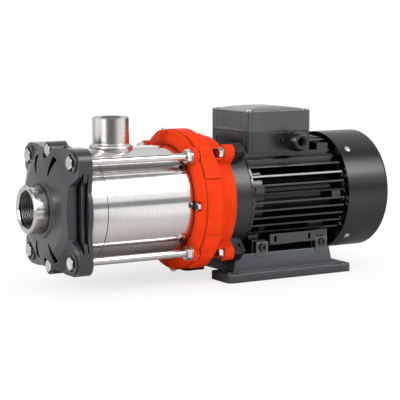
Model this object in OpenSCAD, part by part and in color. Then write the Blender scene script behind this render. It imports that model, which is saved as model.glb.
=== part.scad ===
/* [Layout along the shaft] */
// Height of the shaft axis above the floor
axis_h = 106; // [100:0.5:130]
// How far the inlet port stands out of the suction plate
inlet_out = 35; // [25:1:50]
// Length of the barrel, from the back of the suction plate to the pump flange
barrel_len = 149; // [145:1:200]
// Length of the motor bracket
bracket_len = 51; // [49:0.5:60]
// Middle of the foot holes to the back of the motor bracket
bracket_reach = 88; // [84:0.5:94]
// Length of the front end shield
shield_len = 29; // [26:0.5:34]
// Length of the finned housing
housing_len = 151; // [145:1:190]
// Length of the fan cover
cover_len = 69; // [64:1:90]

/* [Suction plate] */
// Thickness of the suction plate
plate_t = 21; // [19:0.5:26]
// Radius of the lugs round the tie rods
plate_lug_r = 17; // [14:0.5:19]
// Radius of the lugs round the two centre bolts
centre_lug_r = 11.5; // [10:0.5:14]
// How far the back rim of the plate stands out past the barrel at its waist
waist_out = 2; // [0:0.5:5]
// Half width of the front web at its waist
front_waist = 64; // [60:0.5:70]
// Height of the domed front over the bosses
dome_h = 12; // [6:0.5:14]
// Thickness of the front web
web_t = 6; // [4:0.5:8]
// Depth of the channels in the sides
channel_d = 12; // [6:0.5:13]
// Radius of the raised collar round the inlet port
collar_r = 38; // [35:0.5:44]
// Height of the collar in front of the plate
collar_h = 14; // [8:0.5:17]

/* [Ports] */
// Outside radius of the inlet port
inlet_r = 31; // [29:0.5:33]
// Thread bore radius of the inlet port
inlet_bore_r = 23.9; // [20:0.1:25]
// Depth of the inlet thread
inlet_thread_l = 26; // [20:0.5:30]
// Outside radius of the outlet port
outlet_r = 24; // [21:0.5:27]
// Thread bore radius of the outlet port
outlet_bore_r = 19.5; // [15:0.1:20]
// Depth of the outlet thread
outlet_thread_l = 22; // [18:0.5:26]
// Height of the outlet rim above the shaft axis
outlet_top = 114; // [106:0.5:130]
// Distance of the outlet from the back of the suction plate
outlet_from_plate = 66; // [52:0.5:80]

/* [Barrel] */
// Outside radius of the barrel
barrel_r = 74; // [73:0.5:75]
// Wall of the barrel
barrel_wall = 1.5; // [1:0.1:2]
// Length of the suction cover that shows in front of the seam
cover_skirt = 24; // [20:0.5:30]

/* [Tie rods] */
// Distance from the barrel to the middle of a tie rod
rod_gap = 15.1; // [14:0.1:18]
// Radius of the tie rods
rod_r = 5; // [4:0.1:6]
// Width across flats of the nuts
nut_af = 17; // [15:0.5:19]
// Height of the nuts
nut_h = 8.5; // [6:0.5:10]
// Height of the cap nuts in front
cap_h = 5.5; // [4.5:0.5:8]

/* [Pump flange and motor bracket] */
// How far the pump flange stands out past the barrel
flange_rim = 19.5; // [18:0.5:23]
// Thickness of the pump flange
flange_t = 8; // [6:0.5:10]
// Radius of the lugs round the lock nuts
flange_lug_r = 12; // [10:0.5:13]
// Length of the thick ring of the bracket
ring_l = 22; // [18:0.5:24]
// How much smaller the bracket is at its back than the flange
adapter_step = 9.5; // [7:0.5:11]
// Distance of the bracket bolts outside the back of the bracket
bolt_out = 10; // [9:0.5:13]

/* [Motor] */
// Outside radius of the front end shield
shield_r = 78; // [76:0.5:80]
// Bore radius of the housing
housing_bore_r = 56; // [54:0.5:57]
// Radius of the housing wall between the fins
housing_r = 60; // [59:0.1:60.4]
// Radius of the fin tips
fin_tip_r = 77; // [74:0.5:79]
// Distance between two fins
fin_pitch = 11; // [9.5:0.1:11.4]
// Thickness of a fin
fin_t = 2.4; // [1.6:0.1:3]
// Half width of the terminal platform
platform_w = 45; // [42:0.5:46]
// Half width of the ledges beside the platform
ledge_w = 52.5; // [50:0.5:55]
// Height of the terminal platform above the axis
platform_top = 61; // [60.5:0.5:64]
// Outside radius of the fan cover
cover_r = 82.5; // [81:0.5:86]
// Wall of the fan cover
cover_wall = 1.5; // [1:0.1:2]

/* [Terminal box] */
// Length of the box along the shaft
box_l = 102; // [96:1:112]
// Width of the box
box_w = 93; // [88:1:98]
// Height of the box base
box_base_h = 27.5; // [24:0.5:32]
// Height of the lid at its corners
lid_h = 27.5; // [22:0.5:34]
// Rise of the lid towards its middle
lid_rise = 5.5; // [1:0.5:8]
// Wall of the box
box_wall = 3; // [2:0.5:4]
// Radius of the dome nut of the gland
gland_r = 13.6; // [12:0.1:14]
// Bore of the gland for the cable
cable_r = 5.5; // [3:0.1:6.5]

/* [Base] */
// Length of the foot rails
foot_l = 198; // [190:1:220]
// Outside width over both foot rails
foot_w = 165; // [160:1:180]
// Width of the open channel between the foot rails
foot_gap = 66; // [50:1:70]
// Thickness of the foot rails
foot_t = 11; // [8:0.5:14]
// Distance of the foot holes from the ends of the rails
foot_hole_end = 11; // [9.5:0.5:14]
// Distance of the outer foot holes from the sides of the base
foot_hole_side = 10.5; // [9.5:0.5:14]
// Distance of the inner foot holes from the open channel
foot_slot_in = 13; // [9.5:0.5:16]
// Radius of the outer foot holes
foot_hole_r = 4.5; // [3:0.1:6]
// Radius of the inner foot holes
foot_slot_r = 3.5; // [3:0.1:5]
// Length of the riser
riser_l = 152; // [140:1:160]
// Width of the riser at its top
riser_w = 122; // [118:1:130]
// Distance of the riser's top below the axis
riser_drop = 72.5; // [72:0.5:76]

/* [Stages] */
// Length of one stage
stage_l = 27; // [25:0.5:30]
// Space between the stage casings and the barrel
stage_gap = 10.5; // [8:0.5:14]
// Radius of the impellers
impeller_r = 48; // [40:0.5:52]
// Radius of the impeller's eye
eye_r = 19; // [17:0.5:21]
// Vanes of an impeller
vanes = 6; // [5:1:8]
// Radius of the shaft inside the pump
pump_shaft_r = 8; // [7:0.5:9]

/* [Hidden] */
$fn = 72;

// Colours
charcoal = [0.13, 0.14, 0.15];
stainless = [0.78, 0.77, 0.75];
orange = [0.93, 0.24, 0.08];
motor_grey = [0.2, 0.21, 0.22];
motor_black = [0.07, 0.07, 0.075];
zinc = [0.72, 0.72, 0.7];
rubber = [0.05, 0.05, 0.05];
steel = [0.55, 0.56, 0.58];
copper = [0.7, 0.35, 0.15];
plastic = [0.85, 0.82, 0.72];

// Clearance between pieces that slide together
slip = 0.3;
// Small step that lets one solid bite into another of its own node
bite = 0.5;
sides = [-1, 1];

// Stations along the shaft
bracket_back = -bracket_reach;
joint_x = bracket_back - bracket_len;
flange_x = joint_x - flange_t;
plate_back = flange_x - barrel_len;
plate_x = plate_back - plate_t;
inlet_x = plate_x - inlet_out;
cover_x = plate_back - 3;
seam_x = plate_back + cover_skirt;
barrel_end = joint_x - flange_t + 1;
ring_back = joint_x + ring_l;
shield_back = bracket_back + shield_len;
housing_back = shield_back + housing_len;
cover_front = housing_back + 2;
cover_back = cover_front + cover_len;
outlet_x = plate_back + outlet_from_plate;
barrel_in = barrel_r - barrel_wall;
rod_angle_r = barrel_r + rod_gap;
rod_pos = rod_angle_r / sqrt(2);
centre_bolt_pos = barrel_r;
waist_w = barrel_r + waist_out;
flange_r = barrel_r + flange_rim;
adapter_r = flange_r - adapter_step;
bracket_bolt_circle = adapter_r + bolt_out;
stage_r = barrel_in - stage_gap;
foot_hole_x = foot_l - 2 * foot_hole_end;
foot_hole_y = foot_w - 2 * foot_hole_side;
foot_slot_y = foot_gap + 2 * foot_slot_in;

// Moves a piece from the shaft axis to its height above the floor
module on_axis() {
    translate([0, 0, axis_h]) children();
}

// Turns a profile of radius and station round the shaft axis
module turned(x = 0, angle = 360) {
    translate([x, 0, 0]) rotate([0, 90, 0]) rotate_extrude(angle = angle) children();
}

// Extrudes an outline of width and height along the shaft
module along_x(x, l) {
    translate([x, 0, 0]) rotate([90, 0, 90]) linear_extrude(l) children();
}

// Straight round bar along the shaft
module bar_x(x, l, r, y = 0, z = 0) {
    translate([x, y, z]) rotate([0, 90, 0]) cylinder(h = l, r = r);
}

// Six-sided bar along the shaft, measured across its flats
module hex_x(x, l, af, y = 0, z = 0) {
    translate([x, y, z]) rotate([0, 90, 0]) cylinder(h = l, d = af / cos(30), $fn = 6);
}

// Nut along the shaft, with its corners turned off at both ends
module nut_x(x, l, af, y = 0, z = 0) {
    intersection() {
        hex_x(x, l, af, y, z);
        translate([x, y, z]) turned() nut_profile(l, af);
    }
}

module nut_profile(l, af) {
    tip = af / 2 - 0.2;
    corner = af / 2 / cos(30) + 0.1;
    rise = (corner - tip) * tan(30);
    polygon([[0, 0], [tip, 0], [corner, rise], [corner, l - rise], [tip, l], [0, l]]);
}

// Square rows of four
module at_rods() {
    for (y = sides * rod_pos, z = sides * rod_pos) translate([0, y, z]) children();
}

module at_bracket_bolts() {
    for (a = [45 : 90 : 315]) rotate([a, 0, 0]) translate([0, bracket_bolt_circle, 0]) children();
}

// Rectangle with round corners
module rounded(l, w, r) {
    square([l - 2 * r, w], center = true);
    square([l, w - 2 * r], center = true);
    for (x = sides * (l / 2 - r), y = sides * (w / 2 - r)) translate([x, y]) circle(r = r, $fn = 32);
}

// Box between two corners
module block(low, high) {
    translate(low) cube(high - low);
}

// Suction plate

module plate_lugs() {
    for (y = sides * rod_pos, z = sides * rod_pos) translate([y, z]) circle(r = plate_lug_r);
    for (z = sides * centre_bolt_pos) translate([0, z]) circle(r = centre_lug_r);
}

// Outline whose four sides curve in to a waist
module plate_outline(waist) {
    plate_lugs();
    difference() {
        square([2 * rod_pos + 2 * plate_lug_r, 2 * rod_pos], center = true);
        for (y = sides) translate([y * (waist + side_r), 0]) circle(r = side_r, $fn = 200);
    }
    difference() {
        square([2 * rod_pos, 2 * rod_pos + 2 * plate_lug_r], center = true);
        for (z = sides) translate([0, z * (waist + 1 + side_r)]) circle(r = side_r, $fn = 200);
    }
}

// Outline of the front web: straight down both sides, then out to the lugs
module web_outline(waist) {
    straight = rod_pos - plate_lug_r - 12;
    plate_lugs();
    intersection() {
        plate_outline(waist_w);
        difference() {
            square(4 * rod_pos, center = true);
            for (s = sides) scale([s, 1]) polygon([[waist, -straight], [waist, straight],
                [waist + 2 * plate_lug_r, rod_pos], [waist + 2 * plate_lug_r, -rod_pos]]);
        }
    }
}

side_r = 320;
core_w = waist_w - channel_d - 4;
mid_rib_x = web_t + 3;
mid_rib_t = 4.5;
rim_t = 5.5;
rim_r = barrel_r + 7;
pocket_in = 46;
pocket_out = 72;
head_seat = plate_x + 1;
boss_face = plate_x - 1.5;
cap_af = nut_af - 1;
head_room = nut_af / 2 + 2.3;

module plate_pocket() {
    polygon([[-1.5, pocket_in], [1.5, pocket_in], [7, pocket_out], [-5.5, pocket_out]]);
}

// Domed front of the casting: radius and station of its skin
module dome_profile() {
    edge = rod_angle_r + plate_lug_r + 2;
    polygon([[0, plate_x - dome_h], [collar_r + 8, plate_x - dome_h],
        [barrel_r - 16, plate_x - 0.87 * dome_h], [barrel_r - 6, plate_x - 0.6 * dome_h],
        [barrel_r + 2, plate_x - 0.27 * dome_h], [rod_angle_r - 5, plate_x],
        [edge, plate_x + 2], [edge, plate_x + web_t], [0, plate_x + web_t]]);
}

module plate_front() {
    intersection() {
        along_x(plate_x - 2 * collar_h, plate_t + 2 * collar_h) web_outline(front_waist);
        turned() dome_profile();
    }
    turned() hub_profile();
}

module hub_profile() {
    top = plate_x - collar_h - 2;
    foot = plate_x - dome_h;
    polygon([[inlet_r + slip, top], [collar_r - 3, top], [collar_r - 1, top + 1.2],
        [collar_r, top + 3], [collar_r + 3, foot - 0.5], [collar_r + 10, foot + 0.4],
        [collar_r + 10, plate_x + 2], [inlet_r + slip, plate_x + 2]]);
}

module suction_plate() {
    color(charcoal) on_axis() difference() {
        union() {
            plate_front();
            along_x(plate_x + 2, plate_t - 2) web_outline(core_w);
            along_x(plate_x + mid_rib_x, mid_rib_t) web_outline(waist_w - channel_d / 3);
            along_x(plate_back - rim_t, rim_t) {
                circle(r = rim_r);
                plate_outline(waist_w);
            }
            at_rods() bar_x(boss_face, plate_back - boss_face - bite, head_room + 2.6);
            for (z = sides * centre_bolt_pos) bar_x(boss_face - 1.5, plate_t, centre_lug_r, 0, z);
        }
        bar_x(plate_x - 3 * collar_h, 3 * collar_h + plate_t + 1, inlet_r + slip);
        bar_x(cover_x, plate_t, barrel_r + slip / 2);
        plate_relief();
        for (a = [0, 180], s = sides) rotate([a, 0, 0])
            along_x(plate_x - 2 * collar_h, 2 * collar_h + 2.4) rotate(s * 22) plate_pocket();
        at_rods() bar_x(plate_x - 5, plate_t + 10, rod_r + 0.2);
        at_rods() bar_x(head_seat - 20, 20, head_room);
        for (z = sides * centre_bolt_pos) {
            bar_x(head_seat - 20, 20, head_room - 1, 0, z);
            bar_x(plate_x - 5, plate_t + 2, bolt_r, 0, z);
        }
    }
}

// Hollow at the back of the suction plate, crossed by ribs
module plate_relief() {
    difference() {
        turned() polygon([[inlet_r + 7, plate_x + web_t + 1], [core_w - 6, plate_x + web_t + 2],
            [core_w - 6, plate_back], [inlet_r + 7, plate_back]]);
        for (a = [0 : 45 : 135]) rotate([a, 0, 0]) block([plate_x, -3, -barrel_r],
            [cover_x, 3, barrel_r]);
    }
}

// Ports

module inlet_port() {
    lip = 1.8;
    color(stainless) on_axis() turned() polygon([
        [inlet_bore_r + lip - 0.6, inlet_x + 0.5], [inlet_bore_r + lip, inlet_x],
        [inlet_r - 1.6, inlet_x], [inlet_r, inlet_x + 1.6], [inlet_r, cover_x + barrel_wall],
        [inlet_bore_r - 1.4, cover_x + barrel_wall],
        [inlet_bore_r - 1.4, inlet_x + inlet_thread_l + 1.4], [inlet_bore_r, inlet_x + inlet_thread_l],
        [inlet_bore_r, inlet_x + lip]]);
}

module suction_cover() {
    spigot = 14;
    color(stainless) on_axis() difference() {
        union() {
            turned() polygon([[inlet_r, cover_x], [barrel_r - 3, cover_x], [barrel_r - 0.9, cover_x + 0.9],
                [barrel_r, cover_x + 3], [barrel_r, seam_x - 0.25], [barrel_in, seam_x - 0.25],
                [barrel_in, cover_x + barrel_wall], [inlet_r, cover_x + barrel_wall]]);
            turned() polygon([[barrel_in - 3.6, seam_x - 6], [barrel_in + bite, seam_x - 6],
                [barrel_in + bite, seam_x - 2], [barrel_in - 0.1, seam_x - 1],
                [barrel_in - 0.1, seam_x + spigot], [barrel_in - 3.6, seam_x + spigot]]);
            turned() translate([stage_r - 4, cover_x + 1]) square([4, stages_x - cover_x - 1]);
        }
        turned() seal_groove(seam_x + 7);
    }
}

seal_wire = 1.6;

module seal_groove(x) {
    translate([barrel_in - 2 * seal_wire, x - seal_wire - 0.2]) square([4, 2 * seal_wire + 0.4]);
}

module seal_ring(x) {
    turned() translate([barrel_in - seal_wire, x]) circle(r = seal_wire - 0.02, $fn = 32);
}

module cover_seal() {
    color(rubber) on_axis() seal_ring(seam_x + 7);
}

module sleeve_seal() {
    color(rubber) on_axis() seal_ring(barrel_end - 6);
}

module outer_sleeve() {
    color(stainless) on_axis() difference() {
        turned() polygon([[barrel_in, seam_x + 0.25], [barrel_r - 0.4, seam_x + 0.25],
            [barrel_r, seam_x + 0.65], [barrel_r, barrel_end], [barrel_in, barrel_end]]);
        translate([outlet_x, 0, 0]) cylinder(h = outlet_top, r = outlet_bore_r + 1);
    }
}

module outlet_port() {
    top = outlet_top;
    foot = barrel_r + 5;
    low = barrel_in - 8;
    lip = 2.4;
    color(stainless) on_axis() difference() {
        translate([outlet_x, 0, 0]) rotate_extrude() polygon([
            [outlet_bore_r, top - outlet_thread_l], [outlet_bore_r - 1, top - outlet_thread_l - 1],
            [outlet_bore_r - 1, low], [outlet_r + 4.8, low], [outlet_r + 4.6, foot - 4],
            [outlet_r + 3.8, foot - 2.2], [outlet_r + 2.4, foot - 0.8], [outlet_r + 0.8, foot - 0.1],
            [outlet_r + 0.6, foot + 0.6], [outlet_r, foot + 0.8], [outlet_r, top - 1.4],
            [outlet_r - 1.4, top], [outlet_bore_r + lip, top], [outlet_bore_r, top - lip]]);
        turned() translate([0, outlet_x - 60]) square([barrel_r, 120]);
    }
}

// Fasteners of the barrel

bolt_r = 4.9;
stud_end = joint_x + 14;

module tie_rods() {
    front = head_seat - cap_h + 1.5;
    color(stainless) on_axis() at_rods() bar_x(front, stud_end - front, rod_r);
}

// Low cap nuts with a collar
module cap_nut(x) {
    nut_x(x - cap_h, cap_h, cap_af);
    bar_x(x - 1.2, 1.2, nut_af / 2 + 0.9);
}

module front_nuts() {
    color(zinc) on_axis() difference() {
        at_rods() cap_nut(head_seat);
        at_rods() bar_x(head_seat - cap_h + 1.5, cap_h, rod_r);
    }
}

module centre_bolts() {
    color(zinc) on_axis() for (z = sides * centre_bolt_pos) translate([0, 0, z]) {
        cap_nut(head_seat);
        bar_x(head_seat - bite, plate_back - head_seat - 5, bolt_r);
    }
}

module lock_nuts() {
    color(zinc) on_axis() difference() {
        at_rods() union() {
            nut_x(flange_x - nut_h, nut_h - 1.5, nut_af);
            bar_x(flange_x - 1.6, 1.6, nut_af / 2 + 1.6);
        }
        at_rods() bar_x(flange_x - 2 * nut_h, 3 * nut_h, rod_r);
    }
}

// Orange casting

module flange_lugs(r) {
    for (y = sides * rod_pos, z = sides * rod_pos) translate([y, z]) circle(r = r);
    for (a = [45, 135]) rotate(a) square([2 * rod_angle_r, 2 * r - bite], center = true);
}

notch_r = barrel_r + 8;

module pump_flange() {
    color(orange) on_axis() difference() {
        union() {
            turned() polygon([[barrel_r + slip, flange_x + 0.8], [barrel_r + 1, flange_x],
                [barrel_r + 7, flange_x], [flange_r - 2.5, flange_x + 4], [flange_r, joint_x - 2],
                [flange_r, joint_x - 0.7], [flange_r - 0.7, joint_x], [barrel_r + slip, joint_x]]);
            along_x(flange_x, flange_t - 0.7) flange_lugs(flange_lug_r);
            for (a = [0, 180]) rotate([a - vent_turn, 0, 0]) translate([vent_x, 0, barrel_r + 4])
                cylinder(h = flange_r - barrel_r - 4, r = vent_boss_r);
        }
        bar_x(flange_x - 20, flange_t + 40, barrel_r + slip);
        at_rods() bar_x(flange_x - 1, flange_t + 2, rod_r);
        for (s = sides) translate([0, s * notch_r, 0]) {
            rotate([90 - s * 90, 0, 0]) block([flange_x - 1, -10, -6.5], [flange_x + 3, 6.2, 6.5]);
            bar_x(flange_x - 1, flange_t + 2, screw_r);
        }
        for (a = [0, 180]) rotate([a - vent_turn, 0, 0]) translate([vent_x, 0, 0])
            cylinder(h = 2 * flange_r, r = vent_r);
    }
}

screw_r = 3;
vent_r = 2.6;
vent_boss_r = 5;
vent_turn = 8;
vent_x = joint_x - vent_boss_r - 0.2;

module flange_screws() {
    color(zinc) on_axis() for (s = sides) translate([0, s * notch_r, 0]) {
        nut_x(flange_x - 2, 5, 10);
        bar_x(flange_x + 2, flange_t + 6, screw_r);
    }
}

module vent_plug() {
    color(zinc) on_axis() vent_screw();
}

module drain_plug() {
    color(zinc) on_axis() rotate([180, 0, 0]) vent_screw();
}

module vent_screw() {
    rotate([-vent_turn, 0, 0]) translate([vent_x, 0, 0]) {
        translate([0, 0, barrel_r + 3]) cylinder(h = flange_r - barrel_r - 2, r = vent_r);
        translate([0, 0, flange_r]) cylinder(h = 2.6, d = 8, $fn = 6);
    }
}

// Raised stretches of the thick ring: angles from the top down, and how far each stands out
ring_steps = [[22, 68, 4], [90, 114, 2.4], [114, 152, 5.5]];
cavity_r = 60;

module ring_outline() {
    circle(r = flange_r + 1);
    for (side = [0, 1], step = ring_steps) mirror([side, 0]) intersection() {
        circle(r = flange_r + step[2]);
        polygon([[0, 0], spoke(step[0]), spoke(step[1])]);
    }
}

function spoke(angle) = 2 * flange_r * [-sin(angle), cos(angle)];

module adapter_profile() {
    step = (bracket_back - ring_back) / 4;
    polygon([[cavity_r, joint_x], [flange_r - 1, joint_x], [flange_r - 0.2, joint_x + 0.8],
        [flange_r - 0.2, ring_back], [adapter_r + 5.5, ring_back], [adapter_r + 4.5, ring_back + step],
        [adapter_r + 2.6, ring_back + step + 0.8], [adapter_r + 2, bracket_back - step - 1],
        [adapter_r + 0.6, bracket_back - step], [adapter_r, bracket_back - 1],
        [adapter_r - 1, bracket_back], [cavity_r - 6, bracket_back], [cavity_r - 6, bracket_back - 7],
        [cavity_r + 6, bracket_back - 10], [cavity_r + 6, joint_x + 9], [cavity_r, joint_x + 7]]);
}

lug_w = 21;
lug_t = 13;

module motor_bracket() {
    color(orange) on_axis() difference() {
        union() {
            turned() adapter_profile();
            along_x(joint_x + 0.7, ring_l - 0.7) ring_outline();
            at_rods() bar_x(joint_x + 0.7, ring_l - 3, flange_lug_r);
            for (a = [45 : 90 : 315]) rotate([a, 0, 0]) bracket_lug();
        }
        bar_x(joint_x - 1, bracket_back - joint_x - 9, cavity_r);
        at_rods() bar_x(joint_x - 1, stud_end - joint_x + 1, rod_r);
        at_bracket_bolts() bar_x(bracket_back - lug_t - 1, lug_t + 2, bolt_hole_r);
        for (y = sides * notch_r) bar_x(joint_x - 1, 10, screw_r, y, 0);
        drip_slot();
    }
}

module bracket_lug() {
    bar_x(bracket_back - lug_t, lug_t, lug_w / 2, bracket_bolt_circle, 0);
    block([bracket_back - lug_t, adapter_r - 8, -lug_w / 2],
        [bracket_back, bracket_bolt_circle, lug_w / 2]);
    for (s = sides) translate([0, 0, s * (lug_w / 2 - 1.5)]) block([ring_back - bite, adapter_r - 8, -1.5],
        [bracket_back - lug_t + bite, bracket_bolt_circle - 1, 1.5]);
}

// Slot under the shaft that lets a drop of leakage out
module drip_slot() {
    block([ring_back + 3, -12, -adapter_r - 12], [bracket_back - 10, 12, -cavity_r + 4]);
}

bolt_hole_r = 4;
washer_t = 1.6;

module bracket_bolts() {
    color(zinc) on_axis() at_bracket_bolts() {
        nut_x(bracket_back - lug_t - washer_t - 6, 6, 13);
        bar_x(bracket_back - lug_t - washer_t - bite, lug_t + washer_t + bite + 10, bolt_hole_r);
    }
}

module bracket_washers() {
    color(zinc) on_axis() difference() {
        at_bracket_bolts() bar_x(bracket_back - lug_t - washer_t, washer_t, 7.4);
        at_bracket_bolts() bar_x(bracket_back - lug_t - 3, 6, bolt_hole_r);
    }
}

// Wet end, inside

stages = 4;
stage_wall = 2;
stages_x = plate_back + 10;
stages_end = stages_x + stages * stage_l;
plate_disc_x = barrel_end;
seat_x = barrel_end - 6;
seat_t = 8;

module seal_plate() {
    color(stainless) on_axis() difference() {
        turned() polygon([[pump_shaft_r + 3, seat_x + seat_t], [pump_shaft_r + 3, seat_x + seat_t + 3],
            [22, seat_x + seat_t + 3], [24, plate_disc_x + 3], [barrel_r, plate_disc_x + 3],
            [barrel_r, plate_disc_x], [barrel_in - 0.1, plate_disc_x], [barrel_in - 0.1, plate_disc_x - 11],
            [barrel_in - 4, plate_disc_x - 11], [barrel_in - 4, plate_disc_x], [24, plate_disc_x],
            [22, seat_x], [16, seat_x], [16, seat_x + seat_t]]);
        turned() seal_groove(barrel_end - 6);
    }
}

module discharge_ring() {
    end = plate_disc_x;
    color(stainless) on_axis() difference() {
        turned() translate([stage_r - stage_wall, stages_end]) square([stage_wall, end - stages_end]);
        for (a = [0 : 45 : 135]) rotate([a + 22.5, 0, 0])
            block([stages_end + 4, -14, -stage_r - 5], [end - 5, 14, stage_r + 5]);
    }
}

function stage_x(n) = stages_x + (n - 1) * stage_l;
wall_gap = 1;
shroud = 1.4;
vane_w = 6;
hub_r = 13;
front_shroud = stage_wall + wall_gap + shroud;
back_shroud = front_shroud + vane_w;
hub_end = back_shroud + shroud + 2;
divider = back_shroud + shroud + wall_gap + 1;
vane_sweep = 34;

// Backward curved vane: a strip between two circles, kept between two radii
module curved_vane(from, to, t, bend) {
    intersection() {
        difference() {
            circle(r = to);
            circle(r = from);
        }
        difference() {
            translate([0, bend]) circle(r = bend + t / 2);
            translate([0, bend]) circle(r = bend - t / 2);
        }
        translate([0, -to]) square([to, 2 * to]);
    }
}

module stage_casing(n) {
    x = stage_x(n);
    rib_l = stage_l - divider - stage_wall;
    color(stainless) on_axis() {
        turned() polygon([[eye_r + 3, x], [stage_r, x], [stage_r, x + stage_l],
            [stage_r - stage_wall, x + stage_l], [stage_r - stage_wall, x + stage_wall],
            [eye_r + 3, x + stage_wall]]);
        turned() translate([hub_r, x + divider]) square([impeller_r + 2 - hub_r, stage_wall]);
        along_x(x + divider + stage_wall - 0.1, rib_l + 0.1) for (a = [0 : 45 : 315])
            rotate(a) curved_vane(eye_r + 5, stage_r - stage_wall + 0.3, 1.8, vane_sweep);
    }
}

module neck_rings() {
    color(plastic) on_axis() for (n = [1 : stages]) turned() translate([eye_r + 0.25, stage_x(n) + 0.2])
        square([2.75, stage_wall - 0.4]);
}

module impeller(n) {
    x = stage_x(n);
    color(stainless) on_axis() {
        turned() polygon([[pump_shaft_r, x + front_shroud - 2], [hub_r - 2, x + front_shroud - 2],
            [hub_r - 1, x + back_shroud - 1], [impeller_r, x + back_shroud],
            [impeller_r, x + back_shroud + shroud], [hub_r - 1, x + back_shroud + shroud],
            [hub_r - 1, x + hub_end], [pump_shaft_r, x + hub_end]]);
        turned() polygon([[eye_r - shroud, x], [eye_r, x], [eye_r, x + front_shroud - shroud],
            [impeller_r, x + front_shroud - shroud], [impeller_r, x + front_shroud],
            [eye_r - shroud, x + front_shroud]]);
        along_x(x + front_shroud - 0.1, vane_w + 0.2) for (a = [0 : 360 / vanes : 359])
            rotate(a) curved_vane(eye_r, impeller_r - 0.2, 1.6, vane_sweep);
    }
}

first_hub = stages_x + front_shroud - 2;
last_hub = stage_x(stages) + hub_end;
spacer_r = 11;
head_x = seat_x - 0.08;
head_l = 8;
spring_l = 12;

module shaft_spacers() {
    color(steel) on_axis() {
        for (n = [1 : stages - 1]) turned() translate([pump_shaft_r, stage_x(n) + hub_end])
            square([spacer_r - pump_shaft_r, stage_l + front_shroud - 2 - hub_end]);
        turned() translate([pump_shaft_r, last_hub])
            square([spacer_r - pump_shaft_r + 2, head_x - head_l - spring_l - last_hub]);
    }
}

nut_front = first_hub - 8.5;

module impeller_nut() {
    color(stainless) on_axis() {
        difference() {
            union() {
                nut_x(nut_front, 7, nut_af + 2);
                bar_x(nut_front + 6, 2.5, hub_r - 1);
            }
            bar_x(nut_front - 1, 10.5, pump_shaft_r - 2);
            bar_x(first_hub - 1.5, 3, pump_shaft_r);
        }
    }
}

module seal_seat() {
    color(plastic) on_axis() turned() translate([pump_shaft_r + 0.6, seat_x])
        square([16 - pump_shaft_r - 0.6, seat_t]);
}

module seal_head() {
    color(motor_black) on_axis() turned() polygon([[pump_shaft_r, head_x], [14, head_x],
        [14, head_x - 3], [15, head_x - 3], [15, head_x - head_l], [pump_shaft_r, head_x - head_l]]);
}

// Coil spring behind the seal head: one wire turned along the shaft
module seal_spring() {
    turns = 4;
    wire = 0.9;
    pitch_l = spring_l - 2 * wire;
    color(steel) on_axis() translate([head_x - head_l - spring_l + wire, 0, 0]) rotate([0, 90, 0])
        linear_extrude(pitch_l, twist = -360 * turns, slices = 20 * turns, $fn = 8)
            translate([pump_shaft_r + 3, 0]) circle(r = wire, $fn = 8);
    color(steel) on_axis() for (x = [head_x - head_l - spring_l, head_x - head_l - 1.6])
        turned() translate([pump_shaft_r + 0.2, x]) square([4.8, 1.6]);
}

// Shaft line

bearing_d = 14;
bearing_in = 10;
bearing_out = 23.5;
ball_r = 3.95;
ball_pitch = (bearing_in + bearing_out) / 2;
front_bearing_x = bracket_back + 4;
rear_bearing_x = housing_back - 18;
core_l = 80;
core_x = (shield_back + housing_back - core_l) / 2 - 8;
rotor_r = 33;
air_gap = 0.5;
rotor_bore = 15;
fan_x = housing_back + 6;
shaft_end = fan_x + 27;

module shaft() {
    color(steel) on_axis() turned() polygon([[0, nut_front - 1], [pump_shaft_r - 2, nut_front - 1],
        [pump_shaft_r - 2, first_hub - 1.5], [pump_shaft_r, first_hub - 1.5],
        [pump_shaft_r, seat_x + seat_t + 12], [bearing_in, seat_x + seat_t + 14],
        [bearing_in, front_bearing_x + bearing_d], [12.5, front_bearing_x + bearing_d], [12.5, core_x - 2],
        [rotor_bore, core_x - 1], [rotor_bore, core_x + core_l + 2], [12.5, core_x + core_l + 3],
        [12.5, rear_bearing_x], [bearing_in, rear_bearing_x], [bearing_in, rear_bearing_x + bearing_d + 3],
        [fan_bore, rear_bearing_x + bearing_d + 3], [fan_bore, shaft_end - 1], [fan_bore - 1, shaft_end],
        [0, shaft_end]]);
}

fan_bore = 8.5;
slinger_x = bracket_back - 7;

module slinger_ring() {
    color(rubber) on_axis() turned() polygon([[bearing_in, slinger_x], [24, slinger_x],
        [24, slinger_x + 2], [13.5, slinger_x + 2], [13.5, slinger_x + 5.5],
        [bearing_in, slinger_x + 5.5]]);
}

module rotor_core() {
    color(steel) on_axis() {
        turned() translate([rotor_bore, core_x]) square([rotor_r - rotor_bore, core_l]);
        turned() translate([rotor_r - 12, core_x - 9]) square([10, core_l + 18]);
    }
}

module stator_core() {
    slot_deep = 14;
    color(steel) on_axis() difference() {
        turned() translate([rotor_r + air_gap, core_x]) square([housing_bore_r - rotor_r - air_gap, core_l]);
        for (a = [0 : 15 : 345]) rotate([a, 0, 0])
            block([core_x - 1, rotor_r + 3, -2.2], [core_x + core_l + 1, rotor_r + 3 + slot_deep, 2.2]);
    }
}

module windings() {
    coil_in = rotor_r + 3.2;
    coil_out = coil_in + 13.6;
    color(copper) on_axis() {
        for (x = [core_x - 15, core_x + core_l + 3]) turned() translate([coil_in, x])
            difference() {
                square([coil_out - coil_in, 12]);
                translate([coil_out - coil_in, 12 * (x < core_x ? 0 : 1)]) rotate(45)
                    square(4, center = true);
            }
        for (a = [0 : 15 : 345]) rotate([a, 0, 0])
            block([core_x - 4, coil_in + 0.1, -2], [core_x + core_l + 4, coil_out - 0.1, 2]);
    }
}

module race_ring(x, low, high) {
    turned() difference() {
        translate([low, x]) square([high - low, bearing_d]);
        translate([ball_pitch, x + bearing_d / 2]) circle(r = ball_r + 0.05);
    }
}

bearings = [front_bearing_x, rear_bearing_x];

module bearing_outer_races() {
    color(steel) on_axis() for (x = bearings) race_ring(x, bearing_out - 4.2, bearing_out);
}

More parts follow.
